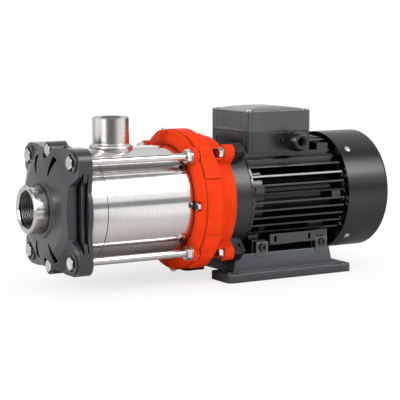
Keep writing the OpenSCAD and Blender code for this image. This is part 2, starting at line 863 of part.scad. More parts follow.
module bearing_inner_races() {
    color(steel) on_axis() for (x = bearings) race_ring(x, bearing_in, bearing_in + 4.2);
}

balls = 8;

module at_balls() {
    for (x = bearings, a = [0 : 360 / balls : 359]) rotate([a, 0, 0])
        translate([x + bearing_d / 2, ball_pitch, 0]) children();
}

module bearing_balls() {
    color(zinc) on_axis() at_balls() sphere(r = ball_r, $fn = 32);
}

module bearing_cages() {
    color(plastic) on_axis() difference() {
        for (x = bearings) turned() translate([ball_pitch - 1.2, x + 3.5]) square([2.4, bearing_d - 7]);
        at_balls() sphere(r = ball_r + 0.12, $fn = 32);
    }
}

// Motor

spigot_l = 6;

module front_end_shield() {
    front = bracket_back;
    color(motor_grey) on_axis() difference() {
        union() {
            turned() polygon([[17, front], [shield_r - 3, front], [shield_r, front + 1.2],
                [shield_r, shield_back - 2], [shield_r - 1, shield_back], [housing_bore_r, shield_back],
                [housing_bore_r, shield_back + spigot_l], [housing_bore_r - 4, shield_back + spigot_l],
                [housing_bore_r - 6, front + 8], [bearing_out + 5, front + 6],
                [bearing_out + 4, front_bearing_x + bearing_d + 1], [bearing_out, front_bearing_x + bearing_d + 1],
                [bearing_out, front_bearing_x], [17, front_bearing_x]]);
            for (a = [45 : 90 : 315]) rotate([a, 0, 0]) shield_lug();
        }
        at_bracket_bolts() bar_x(front - 1, 11, bolt_hole_r);
        for (s = sides, z = [-1, 1]) translate([front + 13, s * rod_pos, z * lug_hole_z])
            rotate([-90 * s, 0, 0]) cylinder(h = 40, r = 2.6);
    }
}

lug_hole_z = 58;
shield_lug_l = 20;

module shield_lug() {
    reach = bracket_bolt_circle + 9;
    block([bracket_back, shield_r - 8, -8], [bracket_back + 14, reach, 8]);
    block([bracket_back, shield_r - 8, -6], [bracket_back + shield_lug_l, reach - 5, 6]);
}

side_fins = 9;
fin_sag = 2.8;
throat_l = 22;
crown_x = housing_back - 37;
pad_drop = riser_drop;
pad_x = [shield_back + 24, housing_back - 30];
pad_l = 26;
pad_top = [-55.5, -48];
pad_out = 57.5;
pad_in = 34;
foot_bolt_drop = 64.5;
collar_l = 4;
ledge_top = platform_top - 6;
ledge_low = platform_top - 17.5;
fin_boss_x = [shield_back + 6, housing_back - 21];
fin_boss_l = 14;
panel_x = [shield_back + 36, housing_back - 39.5];
panel_z = [-62, -48];
panel_out = 63;

// Height of a side fin, counted from the top; the middle ones hang a little lower
function fin_z(n) = (side_fins - 1 - 2 * n) / 2 * fin_pitch - fin_sag * sin(180 * n / (side_fins - 1));

module housing_section() {
    circle(r = housing_r);
    intersection() {
        circle(r = fin_tip_r);
        for (n = [0 : side_fins - 1]) translate([0, fin_z(n)]) square([2 * fin_tip_r, fin_t], center = true);
    }
    intersection() {
        circle(r = fin_tip_r);
        for (n = [-3 : 3]) translate([n * fin_pitch - fin_t / 2, 1 - pad_drop]) square([fin_t, pad_drop / 2]);
    }
}

// Thicker ring between the fins, next to the front end shield
module throat_section() {
    intersection() {
        circle(r = (housing_r + fin_tip_r) / 2);
        translate([-fin_tip_r, -fin_tip_r]) square([2 * fin_tip_r, fin_tip_r + ledge_top - 2]);
    }
}

// Section of the platform that carries the terminal box
module platform_section() {
    difference() {
        for (s = [0, 1]) mirror([s, 0]) polygon([[-bite, ledge_low], [ledge_w, ledge_low],
            [ledge_w, ledge_top - 3], [ledge_w - 3, ledge_top], [platform_w, ledge_top],
            [platform_w, platform_top], [-bite, platform_top]]);
        circle(r = housing_bore_r + 1);
    }
}

module motor_housing() {
    color(motor_black) on_axis() difference() {
        union() {
            along_x(shield_back + 1, housing_len - 1) housing_section();
            along_x(shield_back, collar_l) circle(r = fin_tip_r - 1);
            along_x(shield_back, throat_l) throat_section();
            along_x(shield_back + 1, housing_len - 4) platform_section();
            along_x(crown_x, housing_back - crown_x) crown_section();
            for (n = [0, 1], s = sides) foot_pad(pad_x[n], s, pad_top[n]);
            for (s = sides) side_panel(s);
            for (s = sides, n = [0, 1]) side_block([fin_boss_x[n], fin_boss_x[n] + fin_boss_l], s,
                [housing_r - 4, fin_tip_r - 3], [fin_z(3 + n), fin_z(2 + n)]);
            for (s = sides) side_block([housing_back - 26, housing_back - 8], s,
                [platform_w - 12, platform_w - 1], [platform_top - 2, platform_top + 9]);
        }
        bar_x(shield_back - 1, housing_len + 2, housing_bore_r);
        for (x = pad_x, s = sides) translate([x, s * (pad_out + 1), -foot_bolt_drop])
            rotate([90 * s, 0, 0]) cylinder(h = 16, r = screw_r);
        for (s = sides, x = [panel_x[0] + 7, panel_x[1] - 13]) side_block([x, x + 4], s,
            [panel_out - 4, panel_out + 1], [panel_z[0] + 3, panel_z[1] - 3]);
        translate([0, 0, platform_top - 11]) cylinder(h = 20, r = 12);
    }
}

// Block on one side: reaches along the shaft, outward and up
module side_block(x, s, y, z) {
    block([x[0], min(s * y[0], s * y[1]), z[0]], [x[1], max(s * y[0], s * y[1]), z[1]]);
}

// Upright fins on top, behind the terminal box
module crown_section() {
    intersection() {
        circle(r = fin_tip_r + 1);
        for (n = [-3 : 3]) translate([n * 8.6, fin_tip_r / 2 + 20])
            square([fin_t, fin_tip_r], center = true);
    }
}

// Pad on the base, with a narrower root that reaches up into the housing wall
module foot_pad(x, s, top) {
    side_block([x - pad_l / 2, x + pad_l / 2], s, [pad_in, pad_out], [-pad_drop, top]);
    side_block([x - pad_l / 2, x + pad_l / 2], s, [pad_in, pad_out - 10], [-pad_drop, -pad_in]);
}

module side_panel(s) {
    side_block(panel_x, s, [3 * fin_pitch, panel_out], panel_z);
}

module rear_end_shield() {
    back = housing_back + 4;
    ear_l = 20;
    color(motor_grey) on_axis() difference() {
        union() {
            turned() polygon([[14, housing_back - 2], [housing_bore_r - 5, housing_back - 2],
                [housing_bore_r - 5, housing_back - spigot_l], [housing_bore_r, housing_back - spigot_l],
                [housing_bore_r, housing_back], [rear_rim_r, housing_back], [rear_rim_r, back - 1],
                [rear_rim_r - 1, back], [14, back]]);
            turned() translate([bearing_out, rear_bearing_x - 1]) square([5, housing_back - rear_bearing_x]);
            intersection() {
                for (a = ear_angles) rotate([a, 0, 0]) block([housing_back + 0.5, housing_r - 8, -6],
                    [back + ear_l, cover_r, 6]);
                bar_x(housing_back, back + ear_l, cover_r - cover_wall);
            }
        }
        bar_x(rear_bearing_x, bearing_d, bearing_out);
        bar_x(back, ear_l + 5, fan_r + 3);
        at_cover_screws() cylinder(h = 20, r = 2);
    }
}

rear_rim_r = housing_r + 8;

// Angles of the fan cover's screws, from the horizontal on each side
ear_angles = [47, 133, 227, 313];
screw_x = cover_front + 15;

module at_cover_screws() {
    for (a = ear_angles) rotate([a, 0, 0]) translate([screw_x, cover_r - 12, 0])
        rotate([-90, 0, 0]) children();
}

fan_r = cover_r - 16.5;
fan_blades = 9;
fan_hub_l = 18;

module fan() {
    blade_front = fan_x + 2.5;
    color(motor_black) on_axis() difference() {
        union() {
            turned() polygon([[fan_bore, fan_x], [fan_r - 5, fan_x], [fan_r - 5, fan_x + 2.5],
                [14, fan_x + 4], [13, fan_x + fan_hub_l], [fan_bore, fan_x + fan_hub_l]]);
            for (a = [0 : 360 / fan_blades : 359]) rotate([a, 0, 0])
                translate([blade_front - 1, 0, 0]) rotate([90, 0, 0]) translate([0, 0, -1])
                    linear_extrude(2) polygon([[0, 12], [17, 12], [24, 24], [24, fan_r - 6],
                        [20, fan_r], [8, fan_r], [0, fan_r - 16]]);
        }
        bar_x(fan_x - 1, fan_hub_l + 2, fan_bore);
    }
}

slot_w = 3.4;
slot_rings = 6;

module fan_cover() {
    round_r = 5;
    color(motor_black) on_axis() difference() {
        turned() difference() {
            cover_outline(cover_r, cover_back, round_r);
            translate([0, -cover_wall]) cover_outline(cover_r - cover_wall, cover_back, round_r - cover_wall);
        }
        for (n = [1 : slot_rings]) grille_ring(14 + n * 8.6, 4 + 2 * n);
        at_cover_screws() cylinder(h = 20, r = 2);
    }
}

module cover_outline(r, end, corner) {
    translate([0, cover_front]) square([r - corner, end - cover_front]);
    translate([0, cover_front]) square([r, end - cover_front - corner]);
    translate([r - corner, end - corner]) circle(r = corner, $fn = 48);
}

// One ring of curved air slots
module grille_ring(r, count) {
    bridge = 5;
    span = 360 / count - bridge / r * 180 / PI;
    for (n = [0 : count - 1]) rotate([n * 360 / count, 0, 0]) turned(0, span)
        translate([r - slot_w / 2, cover_back - cover_wall - 1]) square([slot_w, cover_wall + 2]);
}

module fan_cover_screws() {
    color(zinc) on_axis() at_cover_screws() {
        translate([0, 0, 3]) cylinder(h = 9.1, r = 2);
        translate([0, 0, 12]) difference() {
            intersection() {
                cylinder(h = 3, r = 4.6);
                translate([0, 0, -5]) sphere(r = 7.4, $fn = 48);
            }
            for (a = [0, 90]) rotate(a) translate([-3, -0.6, 1]) cube([6, 1.2, 3]);
        }
    }
}

// Terminal box

box_x = shield_back + 10;
box_z = platform_top;
box_mid = box_x + box_l / 2;
lid_seam = 0.6;
gasket_t = 1.2;
post_r = 5.5;
box_round = 3;

module box_outline(inset) {
    rounded(box_l - 2 * inset, box_w - 2 * inset, max(box_round - inset, 0.6));
}

module at_box_corners(inset) {
    for (x = sides * (box_l / 2 - inset), y = sides * (box_w / 2 - inset)) translate([x, y]) children();
}

gland_x = 67;
gland_z = 15;
groove_in = 8;
groove_w = 1.2;
groove_d = 0.8;
panel_in = 12;

// Fine upright grooves beside the corners
module corner_grooves(h) {
    for (x = sides * (box_l / 2 - groove_in), y = sides * box_w / 2) translate([x, y, h / 2])
        cube([groove_w, 2 * groove_d, h + 2], center = true);
    for (x = sides * box_l / 2, y = sides * (box_w / 2 - groove_in)) translate([x, y, h / 2])
        cube([2 * groove_d, groove_w, h + 2], center = true);
}

module terminal_box() {
    h = box_base_h - gasket_t / 2;
    color(motor_black) on_axis() translate([box_mid, 0, box_z]) difference() {
        union() {
            linear_extrude(h) box_outline(0);
            translate([gland_x - box_l + 22, -box_w / 2 - 1.2, 0]) cube([10, 3, 3]);
        }
        difference() {
            translate([0, 0, box_wall]) linear_extrude(h) box_outline(box_wall);
            linear_extrude(h) at_box_corners(post_r) circle(r = post_r);
        }
        translate([gland_x - box_l / 2, -box_w / 2 + box_wall + 1, gland_z]) rotate([90, 0, 0])
            cylinder(h = 10, r = 9.5);
        at_box_corners(post_r) translate([0, 0, h - 12]) cylinder(h = 20, r = 2);
        translate([-box_l / 2 - 1, panel_in - box_w / 2, 4]) cube([2.2, box_w - 2 * panel_in, 15]);
        translate([-box_mid, 0, -1]) cylinder(h = box_wall + 2, r = 11);
        corner_grooves(h);
    }
}

module lid_gasket() {
    h = box_base_h - gasket_t / 2;
    color(rubber) on_axis() translate([box_mid, 0, box_z + h]) linear_extrude(gasket_t) difference() {
        box_outline(lid_seam);
        difference() {
            box_outline(box_wall);
            at_box_corners(post_r) circle(r = post_r);
        }
        at_box_corners(post_r) circle(r = 2);
    }
}

lid_z = box_base_h + gasket_t / 2;

// Section of a body with an arched top
module arch_section(w, h, rise) {
    arch_r = (w * w / 4 + rise * rise) / 2 / rise;
    intersection() {
        translate([-w, -1]) square([2 * w, h + rise + 1]);
        translate([0, h + rise - arch_r]) circle(r = arch_r, $fn = 200);
    }
}

// Lid with a top that is arched along the shaft, and a little more across it
module lid_body(inset, h) {
    intersection() {
        linear_extrude(h + 2 * lid_rise) box_outline(inset);
        translate([0, box_w, 0]) rotate([90, 0, 0]) linear_extrude(2 * box_w)
            arch_section(box_l, h, lid_rise);
        along_x(-box_l, 2 * box_l) arch_section(box_w, h, lid_rise + 0.8);
    }
}

screw_seat = 0.6;

module terminal_lid() {
    color(motor_black) on_axis() translate([box_mid, 0, box_z + lid_z]) difference() {
        lid_body(0, lid_h);
        difference() {
            translate([0, 0, -1]) lid_body(box_wall, lid_h - box_wall + 1);
            at_box_corners(post_r) translate([0, 0, -2]) cylinder(h = lid_h + 9, r = post_r);
        }
        at_box_corners(post_r) {
            translate([0, 0, -1]) cylinder(h = 60, r = 2.1);
            translate([0, 0, lid_h - screw_seat]) cylinder(h = 20, r = 4.8);
        }
        corner_grooves(2 * lid_h);
        translate([-box_l / 2 - 1, panel_in - box_w / 2, 3]) cube([1.7, box_w - 2 * panel_in, lid_h - 8]);
    }
}

module lid_screws() {
    color(zinc) on_axis() translate([box_mid, 0, box_z + lid_z]) at_box_corners(post_r) {
        translate([0, 0, -8]) cylinder(h = lid_h - screw_seat + 8 + bite, r = 2);
        translate([0, 0, lid_h - screw_seat]) difference() {
            cylinder(h = 2.6, r = 4.2);
            translate([-5, -0.6, 1.6]) cube([10, 1.2, 2]);
        }
    }
}

module terminal_board() {
    color(plastic) on_axis() difference() {
        block([box_mid - 26, -15, box_z + box_wall], [box_mid + 26, 15, box_z + box_wall + 8]);
        for (x = [-16, 0, 16]) block([box_mid + x + 7.4, -16, box_z + box_wall + 6],
            [box_mid + x + 8.6, 16, box_z + box_wall + 9]);
        at_studs() cylinder(h = 9, r = 2);
    }
}

module at_studs() {
    for (x = [-16, 0, 16], y = [-8, 8]) translate([box_mid + x, y, box_z + box_wall]) children();
}

module terminal_studs() {
    color([0.8, 0.6, 0.25]) on_axis() at_studs() {
        cylinder(h = 17, r = 2);
        translate([0, 0, 8]) cylinder(h = 3.2, d = 8, $fn = 6);
    }
}

// Cable gland

gland_wall = -box_w / 2;
body_l = 8;
nut_l = 23;

module in_gland() {
    translate([box_x + gland_x, gland_wall, box_z + gland_z]) rotate([90, 0, 0]) children();
}

module gland_body() {
    color(motor_black) on_axis() in_gland() difference() {
        union() {
            cylinder(h = 3, r = gland_r - 0.4);
            translate([0, 0, 2]) cylinder(h = body_l - 2, d = 2 * gland_r - 1.2, $fn = 6);
            cylinder(h = body_l + 11, r = 9.6);
            translate([0, 0, -box_wall - 4]) cylinder(h = box_wall + 5, r = 9.4);
        }
        translate([0, 0, -20]) cylinder(h = 60, r = cable_r + 1.5);
    }
}

module gland_insert() {
    color(rubber) on_axis() in_gland() translate([0, 0, body_l + 11.2]) difference() {
        cylinder(h = 10.3, r = 9.4);
        translate([0, 0, -1]) cylinder(h = 14, r = cable_r);
    }
}

module gland_nut() {
    dome = 8;
    color(motor_black) on_axis() in_gland() translate([0, 0, body_l + 0.4]) difference() {
        rotate_extrude() polygon([[0, 0], [gland_r, 0], [gland_r, nut_l - dome],
            [gland_r - 1.6, nut_l - dome + 4], [gland_r - 3.4, nut_l - 1], [gland_r - 4.4, nut_l], [0, nut_l]]);
        for (a = [0 : 20 : 340]) rotate(a) translate([gland_r + 0.7, 0, -1])
            cylinder(h = nut_l - dome - 1, r = 1.5, $fn = 24);
        translate([0, 0, -1]) cylinder(h = nut_l - 0.8, r = 9.7);
        cylinder(h = nut_l + 1, r = cable_r + 2);
    }
}

// Base

riser_top = axis_h - riser_drop;
ear_t = 5;
foot_round = 6;

module riser_section(inset, low, high) {
    flare = 3;
    half = riser_w / 2 - inset;
    polygon([[-half, high], [half, high], [half + flare, low], [-half - flare, low]]);
}

module base() {
    color(motor_black) difference() {
        union() {
            for (s = sides) foot_rail(s);
            intersection() {
                along_x(-riser_l / 2 - 8, riser_l + 16) riser_section(0, foot_t - 2, riser_top);
                rotate([90, 0, 0]) translate([0, 0, -foot_w]) linear_extrude(2 * foot_w)
                    polygon([[-riser_l / 2, riser_top], [riser_l / 2, riser_top],
                        [riser_l / 2 + 4, foot_t - 2], [-riser_l / 2 - 4, foot_t - 2]]);
            }
            for (x = pad_x, s = sides) side_block([x - pad_l / 2 + 4, x + pad_l / 2 - 4], s,
                [pad_out + 0.1, pad_out + ear_t], [riser_top - 5, riser_top + 15]);
        }
        along_x(-riser_l / 2 + 7, riser_l - 14) riser_section(9, -1, riser_top - 9);
        on_axis() bar_x(-riser_l, riser_l + shield_back + collar_l + slip, shield_r + slip);
        for (x = sides * foot_hole_x / 2, y = sides * foot_hole_y / 2) foot_hole(x, y, foot_hole_r);
        for (x = sides * foot_hole_x / 2, y = sides * foot_slot_y / 2) foot_hole(x, y, foot_slot_r);
        for (x = pad_x, s = sides) translate([x, s * (pad_out + ear_t + 1), axis_h - foot_bolt_drop])
            rotate([90 * s, 0, 0]) cylinder(h = ear_t + 2, r = screw_r);
    }
}

// Hole in a rail, with a spot face for its washer
module foot_hole(x, y, r) {
    translate([x, y, -1]) cylinder(h = foot_t + 2, r = r);
    translate([x, y, foot_t - 1.2]) cylinder(h = 3, r = r + 3.2);
}

module foot_rail(s) {
    mid = s * (foot_w + foot_gap) / 4;
    translate([0, mid, 0]) linear_extrude(foot_t) rounded(foot_l, (foot_w - foot_gap) / 2, foot_round);
}

module base_bolts() {
    color(zinc) for (x = pad_x, s = sides)
        translate([x, s * (pad_out + ear_t), axis_h - foot_bolt_drop]) rotate([90 * s, 0, 0]) {
            cylinder(h = ear_t + 10, r = screw_r);
            translate([0, 0, -4]) difference() {
                cylinder(h = 4, r = 5);
                translate([0, 0, -1]) cylinder(h = 3.4, d = 5.8, $fn = 6);
            }
        }
}

suction_plate();
inlet_port();
suction_cover();
outer_sleeve();
outlet_port();
tie_rods();
front_nuts();
centre_bolts();
lock_nuts();
pump_flange();
motor_bracket();
flange_screws();
vent_plug();
drain_plug();
bracket_bolts();
bracket_washers();
cover_seal();
sleeve_seal();
seal_plate();
discharge_ring();
stage_casing(1);  // stage_casing_1
stage_casing(2);  // stage_casing_2
stage_casing(3);  // stage_casing_3
stage_casing(4);  // stage_casing_4
neck_rings();
impeller(1);  // impeller_1
impeller(2);  // impeller_2
impeller(3);  // impeller_3
impeller(4);  // impeller_4
shaft_spacers();
impeller_nut();
seal_seat();
seal_head();
seal_spring();
slinger_ring();
shaft();
rotor_core();
stator_core();
windings();
bearing_outer_races();
bearing_inner_races();
bearing_balls();
bearing_cages();
front_end_shield();
motor_housing();
rear_end_shield();
fan();
fan_cover();
fan_cover_screws();
terminal_box();
lid_gasket();
terminal_lid();
lid_screws();
terminal_board();
terminal_studs();
gland_body();
gland_insert();
gland_nut();
base();
base_bolts();
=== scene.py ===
"""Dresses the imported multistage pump.

Its solids get their finishes, fine pieces are added beside them, and the studio is set up.
Lengths are in metres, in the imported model's frame: the shaft runs along X, Z is up, and the
middle of the foot holes is the origin.
"""

import logging
import math
from dataclasses import dataclass, field
from enum import Enum
from typing import Any, Callable, Mapping, Optional, Sequence, Union

import bmesh
import bpy
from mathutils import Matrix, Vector


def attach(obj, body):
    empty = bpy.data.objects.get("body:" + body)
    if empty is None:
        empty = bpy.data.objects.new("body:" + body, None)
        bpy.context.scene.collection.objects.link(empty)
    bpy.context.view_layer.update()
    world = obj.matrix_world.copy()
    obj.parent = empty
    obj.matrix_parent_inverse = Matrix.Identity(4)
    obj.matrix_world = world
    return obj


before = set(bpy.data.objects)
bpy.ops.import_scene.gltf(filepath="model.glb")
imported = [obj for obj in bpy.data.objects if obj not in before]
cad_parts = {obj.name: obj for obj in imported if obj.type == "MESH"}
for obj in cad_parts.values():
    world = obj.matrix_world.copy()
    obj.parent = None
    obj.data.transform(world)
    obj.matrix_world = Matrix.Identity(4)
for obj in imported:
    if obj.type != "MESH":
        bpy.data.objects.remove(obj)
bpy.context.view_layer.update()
LOG = logging.getLogger("pump")

AXIS_HEIGHT = 0.106
OUTLET_STATION = -0.230
FULL_TURN = 2.0 * math.pi
NOISE_SPAN = (0.3, 0.7)

Colour = tuple[float, float, float]
Socket = bpy.types.NodeSocket
BMesh = bmesh.types.BMesh
Pieces = list[bpy.types.Object]
Number = Union[float, "Signal"]


class Signal:
    """A number socket that Python's operators turn into Math nodes."""

    def __init__(self, graph: "Graph", socket: Socket) -> None:
        """Keeps the socket and its graph."""
        self.graph = graph
        self.socket = socket

    def _math(self, operation: str, *terms: Number) -> "Signal":
        """Adds one Math node.

        Args:
            operation: Blender's name of the operation.
            terms: What goes in, in order.

        Returns:
            The signal that comes out.
        """
        made = self.graph.node("ShaderNodeMath", {"operation": operation}, dict(enumerate(terms)))
        return Signal(self.graph, made.outputs[0])

    def __add__(self, other: Number) -> "Signal":
        """Adds."""
        return self._math("ADD", self, other)

    __radd__ = __add__

    def __sub__(self, other: Number) -> "Signal":
        """Takes other away."""
        return self._math("SUBTRACT", self, other)

    def __rsub__(self, other: Number) -> "Signal":
        """Takes this away from other."""
        return self._math("SUBTRACT", other, self)

    def __mul__(self, other: Number) -> "Signal":
        """Multiplies."""
        return self._math("MULTIPLY", self, other)

    __rmul__ = __mul__

    def __abs__(self) -> "Signal":
        """Drops the sign."""
        return self._math("ABSOLUTE", self)

    def power(self, exponent: Number) -> "Signal":
        """Raises to a power."""
        return self._math("POWER", self, exponent)

    def sine(self) -> "Signal":
        """Takes the sine."""
        return self._math("SINE", self)

    def at_least(self, other: Number) -> "Signal":
        """Keeps the larger of the two."""
        return self._math("MAXIMUM", self, other)

    def angle_with(self, other: "Signal") -> "Signal":
        """Gives the angle whose sides are this and other."""
        return self._math("ARCTAN2", self, other)

    def towards(self, other: Number, share: "Signal") -> "Signal":
        """Goes from this to other by a share from 0 to 1."""
        return self + (other - self) * share

    def ramp(self, low: float, high: float, to_low: float = 0.0, to_high: float = 1.0) -> "Signal":
        """Maps a range onto another, smoothly and without passing its ends.

        Args:
            low: Where the range begins.
            high: Where it ends.
            to_low: What the beginning becomes.
            to_high: What the end becomes.

        Returns:
            The mapped signal.
        """
        made = self.graph.node(
            "ShaderNodeMapRange",
            {"interpolation_type": "SMOOTHSTEP"},
            {"Value": self, "From Min": low, "From Max": high, "To Min": to_low, "To Max": to_high},
        )
        return Signal(self.graph, made.outputs[0])


class Graph:
    """The nodes of one material or of the world.

    Attributes:
        EDGE: Likeness of the rounded and the flat normal where an edge begins and is full.
        OPEN: Share of free sky where the painted shade of a hollow is full and where it ends.
        EDGE_SAMPLES, OPEN_SAMPLES: Samples that find an edge and a hollow.
    """

    EDGE = (0.995, 0.86)
    OPEN = (0.25, 0.9)
    EDGE_SAMPLES = 4
    OPEN_SAMPLES = 6

    def __init__(self, tree: bpy.types.NodeTree) -> None:
        """Empties the tree and keeps it."""
        self.tree = tree
        tree.nodes.clear()

    def node(
        self,
        kind: str,
        settings: Optional[Mapping[str, Any]] = None,
        inputs: Optional[Mapping[Union[str, int], Any]] = None,
    ) -> bpy.types.Node:
        """Adds one node.

        Args:
            kind: Blender's type of the node.
            settings: Its properties, set before its sockets.
            inputs: Values, sockets or signals for its sockets, by name or number.

        Returns:
            The node.
        """
        made = self.tree.nodes.new(kind)
        for key, value in (settings or {}).items():
            setattr(made, key, value)
        for key, value in (inputs or {}).items():
            self.feed(made.inputs[key], value)
        return made

    def feed(self, socket: Socket, value: Any) -> None:
        """Links or sets one socket.

        Args:
            socket: The input socket.
            value: A number, a colour, a socket or a signal.
        """
        if isinstance(value, Signal):
            value = value.socket
        if isinstance(value, Socket):
            self.tree.links.new(value, socket)
        elif socket.type == "RGBA" and len(value) == 3:
            socket.default_value = (*value, 1.0)
        else:
            socket.default_value = value

    def place(self) -> Socket:
        """Gives the point on the surface, in the frame of the pump."""
        return self.node("ShaderNodeTexCoord").outputs["Object"]

    def parts_of(self, vector: Socket) -> tuple[Signal, Signal, Signal]:
        """Splits a vector into its three numbers."""
        split = self.node("ShaderNodeSeparateXYZ", None, {0: vector})
        return tuple(Signal(self, socket) for socket in split.outputs)

    def joined(self, x: Number, y: Number, z: Number) -> Socket:
        """Makes a vector of three numbers."""
        return self.node("ShaderNodeCombineXYZ", None, {0: x, 1: y, 2: z}).outputs[0]

    def stretched(self, vector: Socket, by: Sequence[float]) -> Socket:
        """Scales a vector by a different factor along each axis."""
        inputs = {0: vector, 1: tuple(by)}
        return self.node("ShaderNodeVectorMath", {"operation": "MULTIPLY"}, inputs).outputs[0]

    def noise(self, place: Socket, scale: float, detail: float = 3.0, rough: float = 0.5) -> Signal:
        """Adds a noise texture.

        Args:
            place: Where it is read.
            scale: Blobs a metre.
            detail: Octaves.
            rough: Strength of each octave after the first.

        Returns:
            The noise, from 0 to 1.
        """
        inputs = {"Vector": place, "Scale": scale, "Detail": detail, "Roughness": rough}
        return Signal(self, self.node("ShaderNodeTexNoise", None, inputs).outputs[0])

    def mixed(self, factor: Number, first: Any, second: Any) -> Socket:
        """Mixes two colours.

        Args:
            factor: 0 gives the first colour and 1 the second.
            first: A colour or a colour socket.
            second: A colour or a colour socket.

        Returns:
            The mixed colour.
        """
        inputs = {0: factor, 6: first, 7: second}
        return self.node("ShaderNodeMix", {"data_type": "RGBA"}, inputs).outputs[2]

    def edges(self, radius: float) -> tuple[Socket, Signal]:
        """Finds the edges of a solid.

        Args:
            radius: How far the rounding reaches.

        Returns:
            The rounded normal, and a mask that is 1 on the edges.
        """
        bevel = self.node("ShaderNodeBevel", {"samples": self.EDGE_SAMPLES}, {"Radius": radius})
        rounded = bevel.outputs[0]
        flat = self.node("ShaderNodeNewGeometry").outputs["Normal"]
        inputs = {0: rounded, 1: flat}
        likeness = self.node("ShaderNodeVectorMath", {"operation": "DOT_PRODUCT"}, inputs)
        return rounded, Signal(self, likeness.outputs["Value"]).ramp(*self.EDGE)

    def hollow_shade_mask(self, reach: float) -> Signal:
        """Says how open the surface is, as the mask of painted shade: less than 1 in corners and
        pockets.
        """
        samples = {"samples": self.OPEN_SAMPLES}
        made = self.node("ShaderNodeAmbientOcclusion", samples, {"Distance": reach})
        return Signal(self, made.outputs["AO"]).ramp(*self.OPEN)

    def rays(self) -> tuple[Signal, Signal]:
        """Tells the rays apart.

        Returns:
            1 for rays of the camera, straight or through glass; and 1 for reflected rays.
        """
        path = self.node("ShaderNodeLightPath")
        straight = Signal(self, path.outputs["Is Camera Ray"])
        through = Signal(self, path.outputs["Is Transmission Ray"])
        return straight.at_least(through), Signal(self, path.outputs["Is Glossy Ray"])

    def bumped(self, height: Number, depth: float, normal: Optional[Socket] = None) -> Socket:
        """Turns a height into a normal.

        Args:
            height: The height, about 0 to 1.
            depth: What 1 stands for, in metres.
            normal: The normal that it is laid on.

        Returns:
            The normal.
        """
        inputs = {"Height": height, "Distance": depth, "Strength": 1.0}
        if normal is not None:
            inputs["Normal"] = normal
        return self.node("ShaderNodeBump", None, inputs).outputs[0]


class Lay(Enum):
    """Which way the fine lines of a metal run."""

    ROUND_SHAFT = "round the shaft axis"
    ALONG_SHAFT = "along the shaft"
    ROUND_OUTLET = "round the outlet"


@dataclass(frozen=True)
class Finish:
    """What every finish has.

    Capitals name what all finishes of a kind share: counts in a metre, heights, stretches, and
    the spans that a noise is drawn out over.

    Attributes:
        name: Its name, which is also its slot's unless slot is given.
        colour: Its colour.
        roughness: Its middle roughness.
        edge: How far the rounding of the edges reaches.
        shine: The shader's specular level.
        slot: The record's slot of its pieces.
    """

    name: str
    colour: Colour
    roughness: float = 0.5
    edge: float = 0.0005
    shine: float = 0.5
    slot: str = ""

    def material(self) -> bpy.types.Material:
        """Makes the material, or finds the one made before."""
        label = f"{self.name}_finish"
        made = bpy.data.materials.get(label)
        if made is not None:
            return made
        made = bpy.data.materials.new(label)
        made.use_nodes = True
        made.diffuse_color = (*self.colour, 1.0)
        graph = Graph(made.node_tree)
        surface = {"Specular IOR Level": self.shine, **self.surface(graph)}
        shader = graph.node("ShaderNodeBsdfPrincipled", None, surface)
        graph.node("ShaderNodeOutputMaterial", None, {"Surface": shader.outputs[0]})
        return made

    def surface(self, graph: Graph) -> dict[str, Any]:
        """Works out what feeds the shader.

        Args:
            graph: Where the nodes go.

        Returns:
            Values or links of the shader's sockets.
        """
        raise NotImplementedError

    def shade(self, by: float) -> Colour:
        """Makes the colour lighter or darker by a factor."""
        return tuple(min(1.0, part * by) for part in self.colour)

    def shaded(self, graph: Graph, mask: Number, dark: float, light: float) -> Socket:
        """Goes from a dark to a light shade of the colour.

        Args:
            graph: Where the nodes go.
            mask: 0 gives the dark shade and 1 the light one.
            dark: Factor of the dark shade.
            light: Factor of the light shade.

        Returns:
            The colour's socket.
        """
        return graph.mixed(mask, self.shade(dark), self.shade(light))

    def rough_by(self, mask: Signal, less: float, more: float) -> Signal:
        """Varies the roughness.

        Args:
            mask: The noise that varies it.
            less: How far it goes below the middle roughness.
            more: How far it goes above it.

        Returns:
            The roughness.
        """
        return mask.ramp(*NOISE_SPAN, self.roughness - less, self.roughness + more)


